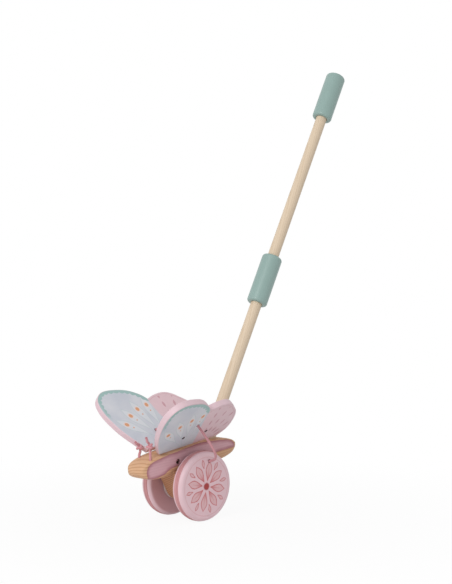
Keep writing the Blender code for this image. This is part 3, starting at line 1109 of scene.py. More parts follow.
def tube(line: Sequence[Vector], radius: float, cut_ends: tuple[bool, bool]) -> Mesh:
    """A round cord along a line in millimetres.

    Args:
        line: the centreline.
        radius: its radius in millimetres.
        cut_ends: whether the start and the end are cut ends that show.

    Returns:
        The closed mesh in metres, with a UV map that runs along and round the cord.
    """
    sides = 14
    work = bmesh.new()
    lay = work.loops.layers.uv.new("lay")
    cut = work.verts.layers.float.new("cut")
    ahead = (line[1] - line[0]).normalized()
    across = ahead.orthogonal().normalized()
    crown, shrink, cut_reach = radius * 0.28, radius * 0.72, 1.1
    along = [0.0]
    for first, second in zip(line, line[1:]):
        along.append(along[-1] + (second - first).length)
    total = along[-1]
    stations = []
    for i, point in enumerate(line):
        way = (line[min(i + 1, len(line) - 1)] - line[max(i - 1, 0)]).normalized()
        across = ahead.rotation_difference(way) @ across
        ahead = way
        stations.append((point, way, across.copy(), along[i], radius))
    point, way, side, _, _ = stations[0]
    stations.insert(0, (point - way * crown, way, side, -crown, shrink))
    point, way, side, last, _ = stations[-1]
    stations.append((point + way * crown, way, side, last + crown, shrink))
    rows = []
    for point, way, side, at, size in stations:
        other = way.cross(side)
        row = []
        for k in range(sides):
            turn = math.tau * k / sides
            vert = work.verts.new((point + (side * math.cos(turn) + other * math.sin(turn))
                                   * size) * MM)
            near = min(at if cut_ends[0] else math.inf, total - at if cut_ends[1] else math.inf)
            vert[cut] = held(1.0 - near / cut_reach)
            row.append(vert)
        rows.append(row)
    for index, (row, following) in enumerate(zip(rows, rows[1:])):
        for k, face in enumerate(stitch(work, row, following)):
            for loop in face.loops:
                own = loop.vert in row
                at = stations[index][3] if own else stations[index + 1][3]
                corner = (row if own else following).index(loop.vert)
                turn = sides if k == sides - 1 and corner == 0 else corner
                loop[lay].uv = (at, turn / sides)
    for row in (rows[0], rows[-1]):
        for loop in work.faces.new(row).loops:
            loop[lay].uv = (0.0, 0.0)
    return close_mesh("tube", work)


def inset_loop(loop: np.ndarray, amount: float) -> np.ndarray:
    """A closed outline moved inwards by an amount; the outline runs anticlockwise.

    Args:
        loop: the outline, one point a row.
        amount: how far it moves.

    Returns:
        The moved outline.
    """
    before = loop - np.roll(loop, 1, axis=0)
    after = np.roll(loop, -1, axis=0) - loop
    normals = []
    for edge in (before, after):
        edge = edge / np.linalg.norm(edge, axis=1, keepdims=True)
        normals.append(np.stack([-edge[:, 1], edge[:, 0]], 1))
    mean = normals[0] + normals[1]
    mean /= np.maximum(1e-9, np.linalg.norm(mean, axis=1, keepdims=True))
    spread = np.maximum(0.6, (mean * normals[0]).sum(1, keepdims=True))
    return loop + mean / spread * amount


def to_outline(points: np.ndarray, loop: np.ndarray) -> tuple[np.ndarray, np.ndarray]:
    """Distance from each point to a closed outline, and how far along it the nearest place is.

    Args:
        points: the points, one a row.
        loop: the outline, one point a row.

    Returns:
        Both distances for each point.
    """
    ends = np.roll(loop, -1, axis=0)
    run = ends - loop
    size = np.maximum(1e-9, np.linalg.norm(run, axis=1))
    start = np.concatenate([[0.0], np.cumsum(size)[:-1]])
    share = ((points[:, None] - loop[None]) * run[None]).sum(2) / (size * size)[None]
    share = np.clip(share, 0.0, 1.0)
    gap = points[:, None] - (loop[None] + share[:, :, None] * run[None])
    distance = np.linalg.norm(gap, axis=2)
    nearest = distance.argmin(1)
    rows = np.arange(len(points))
    return distance[rows, nearest], start[nearest] + share[rows, nearest] * size[nearest]


def inside_outline(points: np.ndarray, loop: np.ndarray) -> np.ndarray:
    """Whether each point is inside a closed outline.

    Args:
        points: the points, one a row.
        loop: the outline, one point a row.

    Returns:
        True or false for each point.
    """
    first, second = loop, np.roll(loop, -1, axis=0)
    x, y = points[:, :1], points[:, 1:]
    spans = (first[:, 1] > y) != (second[:, 1] > y)
    rise = second[:, 1] - first[:, 1]
    rise = np.where(np.abs(rise) < 1e-12, 1e-12, rise)
    crossing = first[:, 0] + (y - first[:, 1]) * (second[:, 0] - first[:, 0]) / rise
    return ((spans & (x < crossing)).sum(1) % 2) == 1


@dataclass(frozen=True)
class Bore:
    """A round hole in a plate; with a depth it starts at the foot and doesn't go through."""

    centre: Pair
    radius: float
    depth: float | None = None
    lip: float = 0.35

    def circle(self, radius: float) -> np.ndarray:
        """The hole's outline at a radius."""
        turns = np.arange(28) * (math.tau / 28)
        return np.array(self.centre) + radius * np.stack([np.cos(turns), np.sin(turns)], 1)

    def rows(self, thickness: float) -> list[Pair]:
        """Radius and height of the hole's wall, from the top down or from the foot up.

        Args:
            thickness: the plate's thickness.

        Returns:
            The wall's points.
        """
        if self.depth is not None:
            return [(self.radius + self.lip, 0.0), (self.radius, self.lip),
                    (self.radius, self.depth)]
        return [(self.radius + self.lip, thickness), (self.radius, thickness - self.lip),
                (self.radius, self.lip), (self.radius + self.lip, 0.0)]


@dataclass
class Plate:
    """A flat board with rounded edges and round holes, built as one closed skin."""

    outline: np.ndarray
    thickness: float
    rounding: float
    spacing: float = 3.0
    bores: list[Bore] = field(default_factory=list)

    def wall(self) -> list[Pair]:
        """Inset and height down the outer edge, from the top face to the foot.

        Returns:
            The edge's points.
        """
        turns = [math.pi / 2 * i / 4 for i in range(5)]
        top = [(self.rounding * (1 - math.sin(t)),
                self.thickness - self.rounding * (1 - math.cos(t))) for t in turns]
        return top + [(inset, self.thickness - height) for inset, height in reversed(top)]

    def face(self, work: Work, loops: list[list[Vert]], height: float) -> None:
        """Fills between the outer loop of points and the holes with small triangles.

        Args:
            work: the mesh work.
            loops: the face's outer points, then those of each hole.
            height: the face's height in millimetres.
        """
        flat = [np.array([vert.co.xy for vert in loop]) / MM for loop in loops]
        low, high = flat[0].min(0), flat[0].max(0)
        grid = np.stack(np.meshgrid(np.arange(low[0], high[0], self.spacing),
                                    np.arange(low[1], high[1], self.spacing)), -1)
        grid = grid.reshape(-1, 2)

        def within(points: np.ndarray) -> np.ndarray:
            """Whether each point is inside the face and outside its holes."""
            hits = [inside_outline(points, loop) for loop in flat]
            return hits[0] & ~np.any(hits[1:], axis=0)

        keep = within(grid)
        for loop in flat:
            keep &= to_outline(grid, loop)[0] > self.spacing * 0.45
        points = [Vector(p) for p in np.concatenate([*flat, grid[keep]])]
        edges = []
        for loop in flat:
            start, count = len(edges), len(loop)
            edges += [(start + i, start + (i + 1) % count) for i in range(count)]
        found, _, faces, origin, _, _ = delaunay_2d_cdt(points, edges, [], 0, 1e-5)
        known = [vert for loop in loops for vert in loop]
        verts = []
        for place, sources in zip(found, origin):
            if sources and sources[0] < len(known):
                verts.append(known[sources[0]])
            else:
                verts.append(work.verts.new((place.x * MM, place.y * MM, height * MM)))
        middles = np.array([sum((found[i] for i in f), Vector((0, 0))) / 3 for f in faces])
        for good, face in zip(within(middles), faces):
            if good:
                work.faces.new([verts[i] for i in face])

    def mesh(self, up: int = 1) -> Mesh:
        """The plate from Z = 0 upwards, or downwards where up is -1.

        Args:
            up: 1 or -1.

        Returns:
            The mesh, with its inset, along and bore values stored; bore marks painted shade in
            holes.
        """
        work = bmesh.new()

        def row(loop: np.ndarray, height: float) -> list[Vert]:
            """One ring of points at a height."""
            return [work.verts.new((x * MM, y * MM, height * up * MM)) for x, y in loop]

        rows = [row(inset_loop(self.outline, inset), height) for inset, height in self.wall()]
        for first, second in zip(rows, rows[1:]):
            stitch(work, first, second)
        top, foot = [rows[0]], [rows[-1]]
        for bore in self.bores:
            ring = [row(bore.circle(radius), height)
                    for radius, height in bore.rows(self.thickness)]
            for first, second in zip(ring, ring[1:]):
                stitch(work, first, second)
            if bore.depth is None:
                top.append(ring[0])
                foot.append(ring[-1])
            else:
                foot.append(ring[0])
                work.faces.new(ring[-1])
        self.face(work, top, self.thickness * up)
        self.face(work, foot, 0.0)
        mesh = close_mesh("plate", work)
        places = np.array([vert.co for vert in mesh.vertices]) / MM
        flat = places[:, :2]
        distance, along = to_outline(flat, self.outline)
        store(mesh, "inset", distance)
        store(mesh, "along", along)
        # Bore walls are marked for painted shade, darker where the holes go in.
        bore_wood_and_shade = np.zeros(len(flat))
        for bore in self.bores:
            away = np.linalg.norm(flat - np.array(bore.centre), axis=1)
            near = np.abs(places[:, 2]) < (bore.depth or self.thickness) + 0.1
            bore_wood_and_shade = np.maximum(bore_wood_and_shade, near & (away < bore.radius + bore.lip / 2))
        store(mesh, "bore", bore_wood_and_shade)
        return mesh


def store(mesh: Mesh, name: str, values: Sequence[float]) -> None:
    """Keeps a number at each point of a mesh, for its material to read."""
    kept = mesh.attributes.new(name, "FLOAT", "POINT")
    kept.data.foreach_set("value", np.asarray(values, np.float32))


def mark_edges(mesh: Mesh) -> None:
    """Keeps at each point how sharply the surface turns outwards there.

    Args:
        mesh: the mesh that keeps the values.
    """
    blunt, keen = 0.1, 0.45
    work = bmesh.new()
    work.from_mesh(mesh)
    values = []
    for vert in work.verts:
        turns = [edge.calc_face_angle_signed(0.0) for edge in vert.link_edges
                 if len(edge.link_faces) == 2]
        values.append(held((max(turns, default=0.0) - blunt) / keen))
    work.free()
    store(mesh, "edge", values)


def drill(radius: float, start: float, end: float, face: float | None = None,
          lip: float = 0.4) -> Mesh:
    """A cutter along Z, with a small cone where it meets a face.

    Args:
        radius: the hole's radius.
        start: where it starts.
        end: where it ends.
        face: the height of the face that it comes out of, if the cone is wanted.
        lip: how wide the cone is there.

    Returns:
        The cutter.
    """
    if face is None:
        outer = [(radius, start), (radius, end)]
    else:
        outer = [(radius, start), (radius, face - lip), (radius + lip + end - face, end)]
    return turned([(0.0, start), *outer, (0.0, end)], 32)


def settled(mesh: Mesh, cutters: Sequence[Mesh] = (), sharp: float = 35.0) -> Mesh:
    """A mesh with holes cut in it and its flat faces shaded flat.

    Args:
        mesh: the solid.
        cutters: meshes in the same place that are taken out of it.
        sharp: the angle in degrees over which an edge stays crisp.

    Returns:
        The finished mesh.
    """
    piece = put_in_scene("work_piece", mesh)
    helpers = [put_in_scene("work_cutter", cutter) for cutter in cutters]
    for helper in helpers:
        taken = piece.modifiers.new("taken", "BOOLEAN")
        taken.operation = "DIFFERENCE"
        taken.solver = "EXACT"
        taken.object = helper
    graph = bpy.context.evaluated_depsgraph_get()
    made = bpy.data.meshes.new_from_object(piece.evaluated_get(graph))
    made.shade_smooth()
    made.set_sharp_from_angle(angle=math.radians(sharp))
    for modifier in list(piece.modifiers):
        piece.modifiers.remove(modifier)
    piece.data = made
    weigh = piece.modifiers.new("weigh", "WEIGHTED_NORMAL")
    weigh.keep_sharp = True
    graph = bpy.context.evaluated_depsgraph_get()
    finished = bpy.data.meshes.new_from_object(piece.evaluated_get(graph))
    for helper in [piece, *helpers]:
        bpy.data.objects.remove(helper, do_unlink=True)
    return finished


def facing(x_axis: Sequence[float], y_axis: Sequence[float], z_axis: Sequence[float],
           origin: Sequence[float] = (0.0, 0.0, 0.0)) -> Matrix:
    """A place from three axes and an origin in millimetres."""
    turn = Matrix((x_axis, y_axis, z_axis)).transposed().to_4x4()
    return Matrix.Translation(Vector(origin) * MM) @ turn


ALONG_X = facing((0, 1, 0), (0, 0, 1), (1, 0, 0))


def between(start: Vector, end: Vector) -> Matrix:
    """A place whose Z runs from one point to another."""
    turn = (end - start).to_track_quat("Z", "Y").to_matrix().to_4x4()
    return Matrix.Translation(start * MM) @ turn


def moved(mesh: Mesh, matrix: Matrix) -> Mesh:
    """The mesh itself, put in another place."""
    mesh.transform(matrix)
    return mesh


def put_in_scene(name: str, data: Any) -> Piece:
    """A new object in the scene, holding a mesh, a lamp or a camera.

    Args:
        name: the object's name.
        data: what it holds.

    Returns:
        The object.
    """
    piece = bpy.data.objects.new(name, data)
    bpy.context.scene.collection.objects.link(piece)
    return piece


def add_piece(name: str, mesh: Mesh, finish: Finish, place: Matrix, *nodes: str,
              body: str = "") -> Piece:
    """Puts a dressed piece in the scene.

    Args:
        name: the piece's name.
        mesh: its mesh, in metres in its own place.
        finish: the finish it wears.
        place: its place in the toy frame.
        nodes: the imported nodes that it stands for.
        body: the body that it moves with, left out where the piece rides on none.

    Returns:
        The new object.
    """
    mark_edges(mesh)
    mesh.name = name
    mesh.materials.clear()
    mesh.materials.append(finish.material())
    piece = put_in_scene(name, mesh)
    piece.matrix_world = TOY @ place
    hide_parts(*nodes)
    if body:
        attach(piece, body)
    LOG.info("%s: %d faces, %s", name, len(mesh.polygons), finish.name)
    return piece


def redress(node: str, finish: Finish) -> None:
    """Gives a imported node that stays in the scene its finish.

    Args:
        node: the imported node's name.
        finish: the finish it wears.
    """
    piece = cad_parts[node]
    piece.data.materials.clear()
    piece.data.materials.append(finish.material())
    LOG.info("%s: kept, %s", node, finish.name)


# Camera and light

@dataclass(frozen=True)
class Viewpoint:
    """The photographer's place: direction, distance in wheel radii and lens."""

    azimuth: float = 46.02
    elevation: float = -0.65
    unit: float = RING_RADIUS
    distance: float = 31.20
    aside: float = 1.157
    above: float = 5.542
    sensor: float = 36.0
    focal_pixels: float = 1074.5
    long_side: float = 584.0

    def axes(self) -> tuple[Vector, Vector, Vector]:
        """The camera's right, up and backward directions.

        Returns:
            The three directions.
        """
        a, e = math.radians(self.azimuth), math.radians(self.elevation)
        right = Vector((math.cos(a), math.sin(a), 0.0))
        back = Vector((math.sin(a) * math.cos(e), -math.cos(a) * math.cos(e), math.sin(e)))
        return right, back.cross(right), back

    def build(self) -> None:
        """Adds the camera and makes it the scene's."""
        right, up, back = self.axes()
        lens = bpy.data.cameras.new("camera")
        lens.sensor_width = self.sensor
        lens.lens = self.focal_pixels * self.sensor / self.long_side
        lens.clip_start = 0.05
        lens.clip_end = 60.0
        camera = put_in_scene("camera", lens)
        offset = back * self.distance + right * self.aside + up * self.above
        turn = Matrix((right, up, back)).transposed().to_4x4()
        camera.matrix_world = Matrix.Translation(in_world((0, 0, 0))
                                                 + offset * self.unit * MM) @ turn
        bpy.context.scene.camera = camera
        LOG.info("camera placed")


@dataclass(frozen=True)
class Lamp:
    """One soft panel of light, placed along the camera's axes from the toy."""

    name: str
    right: float
    up: float
    back: float
    size: float
    watts: float


@dataclass(frozen=True)
class Studio:
    """A white floor, an even white surround and soft panels."""

    aim: Triple = (0.0, 0.0, 0.22)
    surround: float = 0.59
    floor_size: float = 14.0
    shadow_y: float = -100.0
    shadow_fade: tuple[float, ...] = (60.0, 600.0, 0.92, 1.0)
    lamps: tuple[Lamp, ...] = (
        Lamp("front_panel", -0.9, 1.1, 1.7, 1.0, 18.8),
        Lamp("side_panel", -1.7, 0.1, 0.5, 1.0, 1.6),
    )

    def build(self, viewpoint: Viewpoint) -> None:
        """Lays the floor, sets the world and hangs the lamps.

        Args:
            viewpoint: the camera whose axes the lamps are placed along.
        """
        right, up, back = viewpoint.axes()
        aim = Vector(self.aim)
        for lamp in self.lamps:
            light = bpy.data.lights.new(lamp.name, "AREA")
            light.shape = "SQUARE"
            light.size = lamp.size
            light.energy = lamp.watts
            panel = put_in_scene(lamp.name, light)
            place = aim + right * lamp.right + up * lamp.up + back * lamp.back
            panel.location = place
            panel.rotation_mode = "QUATERNION"
            panel.rotation_quaternion = (aim - place).to_track_quat("-Z", "Y")
        self.lay_floor()
        self.light_world()
        LOG.info("studio ready with %d panels", len(self.lamps))

    def lay_floor(self) -> None:
        """A pale floor that shows white and keeps a faint shadow."""
        half = self.floor_size / 2
        work = bmesh.new()
        corners = [work.verts.new((x, y, 0.0)) for x, y in
                   ((-half, -half), (half, -half), (half, half), (-half, half))]
        work.faces.new(corners)
        mesh = close_mesh("studio_floor", work)
        made, sheet = new_material("studio_floor")
        sheet.shader.inputs["Base Color"].default_value = (0.86, 0.86, 0.86, 1.0)
        sheet.shader.inputs["Roughness"].default_value = 0.9
        glow = sheet.add("ShaderNodeEmission")
        x, y, _ = sheet.split(sheet.place())
        away = sheet.length(x, y - self.shadow_y)
        mixed = sheet.add("ShaderNodeMixShader")
        sheet.feed(mixed.inputs[0], sheet.seen() * sheet.ramp(away, *self.shadow_fade))
        out = made.node_tree.nodes["Material Output"]
        for start, end in ((sheet.shader, mixed.inputs[1]), (glow, mixed.inputs[2]),
                           (mixed, out.inputs["Surface"])):
            made.node_tree.links.new(start.outputs[0], end)
        mesh.materials.append(made)
        put_in_scene("studio_floor", mesh)

    def light_world(self) -> None:
        """White where it is seen, and plain soft light on the toy."""
        world = bpy.data.worlds.new("studio_surround")
        bpy.context.scene.world = world
        world.use_nodes = True
        sheet = Sheet(world.node_tree)
        background = world.node_tree.nodes["Background"]
        background.inputs["Color"].default_value = (1.0, 1.0, 1.0, 1.0)
        strength = sheet.seen() * (1.0 - self.surround) + self.surround
        sheet.feed(background.inputs["Strength"], strength)


# Cords

@dataclass
class OverhandKnot:
    """A single overhand knot, pulled tight in a cord of the given thickness."""

    diameter: float = 2.9
    squeeze: float = 0.74
    points: int = 96
    pulls: int = 320
    rounds: int = 6
    slack: float = 1.25
    beside: float = 1.9
    ease: float = 0.25
    stretch: float = 1.03
    tug: float = 0.02
    shove: float = 0.3

    def loose(self) -> np.ndarray:
        """An open trefoil whose ends leave up and down Z.

        Returns:
            The line's points, one a row.
        """
        lean = math.radians(48.0)
        turn = np.linspace(0.24, math.tau - 0.24, 3000)
        wide, side_hole_shade = math.cos(lean), math.sin(lean)
        knot = np.stack([wide * np.cos(2 * turn), wide * np.sin(2 * turn),
                         side_hole_shade * np.cos(3 * turn), side_hole_shade * np.sin(3 * turn)], 1)
        pole = np.array([wide, 0.0, side_hole_shade, 0.0])
        run = np.array([0.0, 2 * wide, 0.0, 3 * side_hole_shade])
        run /= np.linalg.norm(run)
        cross = np.array([0.0, run[3], 0.0, -run[1]])
        side = np.array([-side_hole_shade, 0.0, wide, 0.0])
        spread = 1.0 - knot @ pole
        flat = np.stack([knot @ side, knot @ cross, knot @ run], 1) / spread[:, None]
        return flat if flat[-1, 2] > flat[0, 2] else flat[::-1]

    def line(self) -> list[Vector]:
        """The tight centreline in millimetres, rising along Z through the origin.

        Returns:
            The line's points.
        """
        thick = self.diameter * self.squeeze
        start = even_run(self.loose() * thick * self.slack, 0.01)
        total = sum((b - a).length for a, b in zip(start, start[1:]))
        place = np.array(even_run(start, total / (self.points - 1)))
        step = total / (len(place) - 1)
        order = np.arange(len(place))
        near = np.abs(order[:, None] - order[None]) * step < self.beside * thick
        for _ in range(self.pulls):
            place[1:-1] += self.ease * ((place[:-2] + place[2:]) / 2 - place[1:-1])
            drawn = np.linalg.norm(np.diff(place, axis=0), axis=1).mean()
            if drawn < self.stretch * step:
                place[0, 2] -= self.tug * thick
                place[-1, 2] += self.tug * thick
            place[[0, -1], :2] *= 0.9
            for _ in range(self.rounds):
                gap = np.diff(place, axis=0)
                length = np.linalg.norm(gap, axis=1, keepdims=True)
                pull = self.ease * (length - step) / length * gap
                place[1:-1] += pull[1:] - pull[:-1]
                away = place[:, None] - place[None]
                distance = np.linalg.norm(away, axis=2) + 1e-9
                push = np.where(near, 0.0, np.clip(thick - distance, 0.0, None))
                apart = (away / distance[:, :, None] * push[:, :, None]).sum(1)
                place += self.shove * apart / np.maximum(1, (push > 0).sum(1))[:, None]
        return [Vector(p) for p in place]

    def tied(self, below: Vector, above: Vector, centre: Vector, turn: float,
             keep: float) -> list[Vector]:
        """The knot's middle, set in a cord.

        Args:
            below: a point of the cord before the knot.
            above: a point of the cord after it.
            centre: where the knot sits.
            turn: how far it is turned about the cord, in degrees.
            keep: half the height that is kept, in millimetres.

        Returns:
            The knot's centreline in its place.
        """
        lift = (above - below).to_track_quat("Z", "Y").to_matrix()
        lift = lift @ Matrix.Rotation(math.radians(turn), 3, "Z")
        return [centre + lift @ point for point in self.line() if abs(point.z) < keep]


@dataclass(frozen=True)
class Crank:
    """Where the wheels stand, and the hole in each that its flap cord goes through."""

    radius: float = 31.4
    angle: float = 17.5
    wheel_x: float = 29.2
    wheel_half: float = 8.6

    @property
    def turn(self) -> float:
        """How far the hole is turned from upright to the tail, in radians."""
        return math.radians(self.angle)

    @property
    def faces(self) -> Pair:
        """How far the wheels' inner and outer faces are from the toy's middle."""
        return self.wheel_x - self.wheel_half, self.wheel_x + self.wheel_half

    def point(self, side: Side, x: float) -> Vector:
        """The hole's centre at a distance from the toy's middle."""
        return Vector((side.value * x, self.radius * math.sin(self.turn),
                       self.radius * math.cos(self.turn)))


@dataclass
class Cords:
    """Every cord on the toy: hinge ties, flap cords and the two feelers."""

    crank: Crank = Crank()
    radius: float = 1.6
    hinge_x: float = 12.4
    hinge_z: float = 50.0
    wing_thickness: float = 8.2
    lifts: dict[Side, float] = field(default_factory=lambda: {
        Side.LEFT: 43.6, Side.RIGHT: 46.1})
    tie_holes: dict[Tie, Pair] = field(default_factory=lambda: {
        Tie.FRONT: (-20.0, 22.2), Tie.REAR: (18.5, 21.6)})
    side_holes: dict[Tie, Pair] = field(default_factory=lambda: {
        Tie.FRONT: (-22.4, 35.3), Tie.REAR: (22.0, 35.0)})
    tie_recess: float = 3.0
    channel_foot: Pair = (13.5, 0.6)
    channel_top: Pair = (4.2, 49.0)
    tie_loop: Pair = (3.9, 56.5)
    tie_arch: tuple[Pair, ...] = ((3.5, 2.6), (11, 2.2), (18, 2.9))
    tie_blend: tuple[Pair, Pair] = ((4.0, 51.0), (4.0, 2.5))
    flap_hole: Pair = (-7.0, 42.3)
    flap_bow: Triple = (46.5, 18.8, 3.4)
    flap_parting: float = 39.0
    flap_slant: float = 0.9
    flap_knot: Triple = (9.0, 7.5, 2.2)
    knot_keep: Pair = (5.2, 5.0)
    feelers: dict[Side, tuple[Triple, ...]] = field(default_factory=lambda: {
        Side.LEFT: ((12.0, -62.6, 39.5), (12.0, -62.2, 48), (12.0, -61.0, 58),
                    (12.0, -61.9, 64), (12.2, -63.6, 70), (12.4, -64.8, 75.8)),
        Side.RIGHT: ((-12.0, -60.3, 39.5), (-12.0, -60.0, 47), (-12.0, -58.6, 54),
                     (-12.0, -58.4, 59), (-12.4, -60.4, 63.5), (-12.8, -62.6, 67.5))})

    def wing_axes(self, side: Side) -> tuple[Vector, Vector]:
        """A wing's outward direction and its upper face's normal.

        Args:
            side: the wing's side.

        Returns:
            The two directions.
        """
        lift = math.radians(self.lifts[side])
        outward = Vector((side.value * math.cos(lift), 0, math.sin(lift)))
        return outward, Vector((-side.value * math.sin(lift), 0, math.cos(lift)))

    def wing_point(self, side: Side, along: float, out: float, height: float) -> Vector:
        """A point on a wing, its height being over the lower face.

        Args:
            side: the wing's side.
            along: the distance to the tail.
            out: the distance from the hinge.
            height: the height over the lower face.

        Returns:
            The point.
        """
        outward, normal = self.wing_axes(side)
        hinge = Vector((side.value * self.hinge_x, along, self.hinge_z))
        return hinge + outward * out + normal * height

    def channel(self, side: Side, tie: Tie) -> tuple[Vector, Vector]:
        """The lower and the upper end of a tie cord's channel through the body.

        Args:
            side: the toy's side.
            tie: which cord of the wing.

        Returns:
            The two points.
        """
        y, z = self.side_holes[tie]
        low = Vector((side.value * self.channel_foot[0], y, z + self.channel_foot[1]))
        x, top = self.channel_top
        return low, Vector((side.value * x, self.tie_holes[tie][0], top))

    def add(self, name: str, line: Sequence[Vector], node: str,
            cut_ends: tuple[bool, bool] = (False, False), spacing: float = 0.45) -> Piece:
        """A cord piece through a smooth line, its points laid in the world's own place.

        Args:
            name: the piece's name.
            line: the centreline.
            node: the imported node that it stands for.
            cut_ends: whether the start and the end are cut ends that show.
            spacing: how far apart its rings of points are.

        Returns:
            The piece, which rides on nothing yet.
        """
        mesh = tube(even_run(line, spacing), self.radius, cut_ends)
        piece = add_piece(name, settled(mesh, sharp=60), ROSE_CORD, Matrix(), node)
        piece.data.transform(piece.matrix_world)
        piece.matrix_world = Matrix()
        return piece

    def build_tie(self, side: Side, tie: Tie) -> None:
        """A hinge cord: up through the body, then down into the wing.

        Args:
            side: the wing's side.
            tie: which cord of the wing.
        """
        along, out = self.tie_holes[tie]
        low, top = self.channel(side, tie)
        slope = (low - top).normalized()
        over = (*self.tie_arch, (out - 0.4, 1.9), (out, -1.2),
                (out, self.tie_recess - self.wing_thickness))
        bend = [low, low.lerp(top, 0.5), top, top - slope * 0.6 + Vector((0, 0, 2.6)),
                Vector((side.value * self.tie_loop[0], along, self.tie_loop[1]))]
        bend += [self.wing_point(side, along, reach, self.wing_thickness + height)
                 for reach, height in over]
        name = f"{side.label}_{tie.value}_tie_cord"
        piece = self.add(f"plaited_{name}", smooth_run(bend, 8), name, (True, True))
        (x, z), (reach, height) = self.tie_blend
        end = self.wing_point(side, along, reach, self.wing_thickness + height)
        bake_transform(piece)

    def flap_line(self, side: Side) -> list[Vector]:
        """The flap cord from inside the wing to the wheel's outer face.

        Args:
            side: the wing's side.

        Returns:
            The centreline.
        """
        _, normal = self.wing_axes(side)
        start = self.wing_point(side, *self.flap_hole, 0)
        end = self.crank.point(side, self.crank.faces[1])
        reach, spread, lift = self.flap_bow
        first = start - normal * reach
        second = end + Vector((side.value * spread, 0, lift))
        line = [self.wing_point(side, *self.flap_hole, 5.0),
                self.wing_point(side, *self.flap_hole, 2.0), start]
        for i in range(1, 40):
            t = i / 40
            line.append((1 - t) ** 3 * start + 3 * (1 - t) ** 2 * t * first
                        + 3 * (1 - t) * t * t * second + t ** 3 * end)
        return line

    def build_flap(self, side: Side, knot: OverhandKnot) -> None:
        """The cord that a wheel flaps its wing by, in two pieces that meet in mid-air.

        Args:
            side: the wing's side.
            knot: the knot behind the wheel.
        """
        line = even_run(self.flap_line(side), 0.5)
        parting = next(i for i, point in enumerate(line) if point.z < self.flap_parting)
        inner, outer = self.crank.faces
        lead, last, seat = (self.crank.point(side, inner + x) for x in self.flap_knot)
        inside = [*(self.crank.point(side, x) for x in (outer, self.crank.wheel_x)), last]
        tied = knot.tied(lead, seat, seat, 25.0, self.knot_keep[0])
        node = f"{side.label}_flap_cord"
        upper = self.add(f"{node}_upper", line[:parting + 1], node)
        lower = self.add(f"{node}_lower", smooth_run([*line[parting::3], *inside, *tied], 3),
                         node, (False, True), 0.25)
        split = line[parting]
        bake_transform(upper)
        # The wheel sweeps its cord sideways; a slanted point beside the wheel is worked out here,
        # though nothing uses it.
        way = self.crank.point(side, outer) - split
        turn = self.crank.turn
        sideways = Vector((0, math.cos(turn), -math.sin(turn)))
        slant = (way.normalized() + sideways * self.flap_slant).normalized()
        in_world(split + slant * (way.dot(slant) - self.radius))
        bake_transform(lower)

    def build_feeler(self, side: Side, knot: OverhandKnot, turn: float) -> None:
        """A stub of cord with an overhand knot near its free end.

        Args:
            side: the toy's side.
            knot: the knot on it.
            turn: how far the knot is turned about the cord, in degrees.
        """
        route = [Vector(point) for point in self.feelers[side]]
        centre, keep = route[3], self.knot_keep[1]
        tied = knot.tied(route[2], centre.lerp(route[4], 0.5), centre, turn, keep)
        stem = [point for point in smooth_run(route[:4], 8)
                if (point - centre).length > keep + 0.6 and point.z < centre.z]
        tail = [point for point in smooth_run(route[3:], 8)
                if (point - centre).length > keep + 0.6]
        line = smooth_run([*stem[::4], *tied, *tail[::3], route[-1]], 3)
        piece = self.add(f"{side.label}_feeler", line, f"{side.label}_antenna", (False, True))
        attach(piece, "chassis")

    def build(self) -> None:
        """All eight cords."""
        knot = OverhandKnot(2 * self.radius)
        for side, turn in ((Side.LEFT, 35.0), (Side.RIGHT, 80.0)):
            for tie in Tie:
                self.build_tie(side, tie)
            self.build_flap(side, knot)
            self.build_feeler(side, knot, turn)


# Wheels

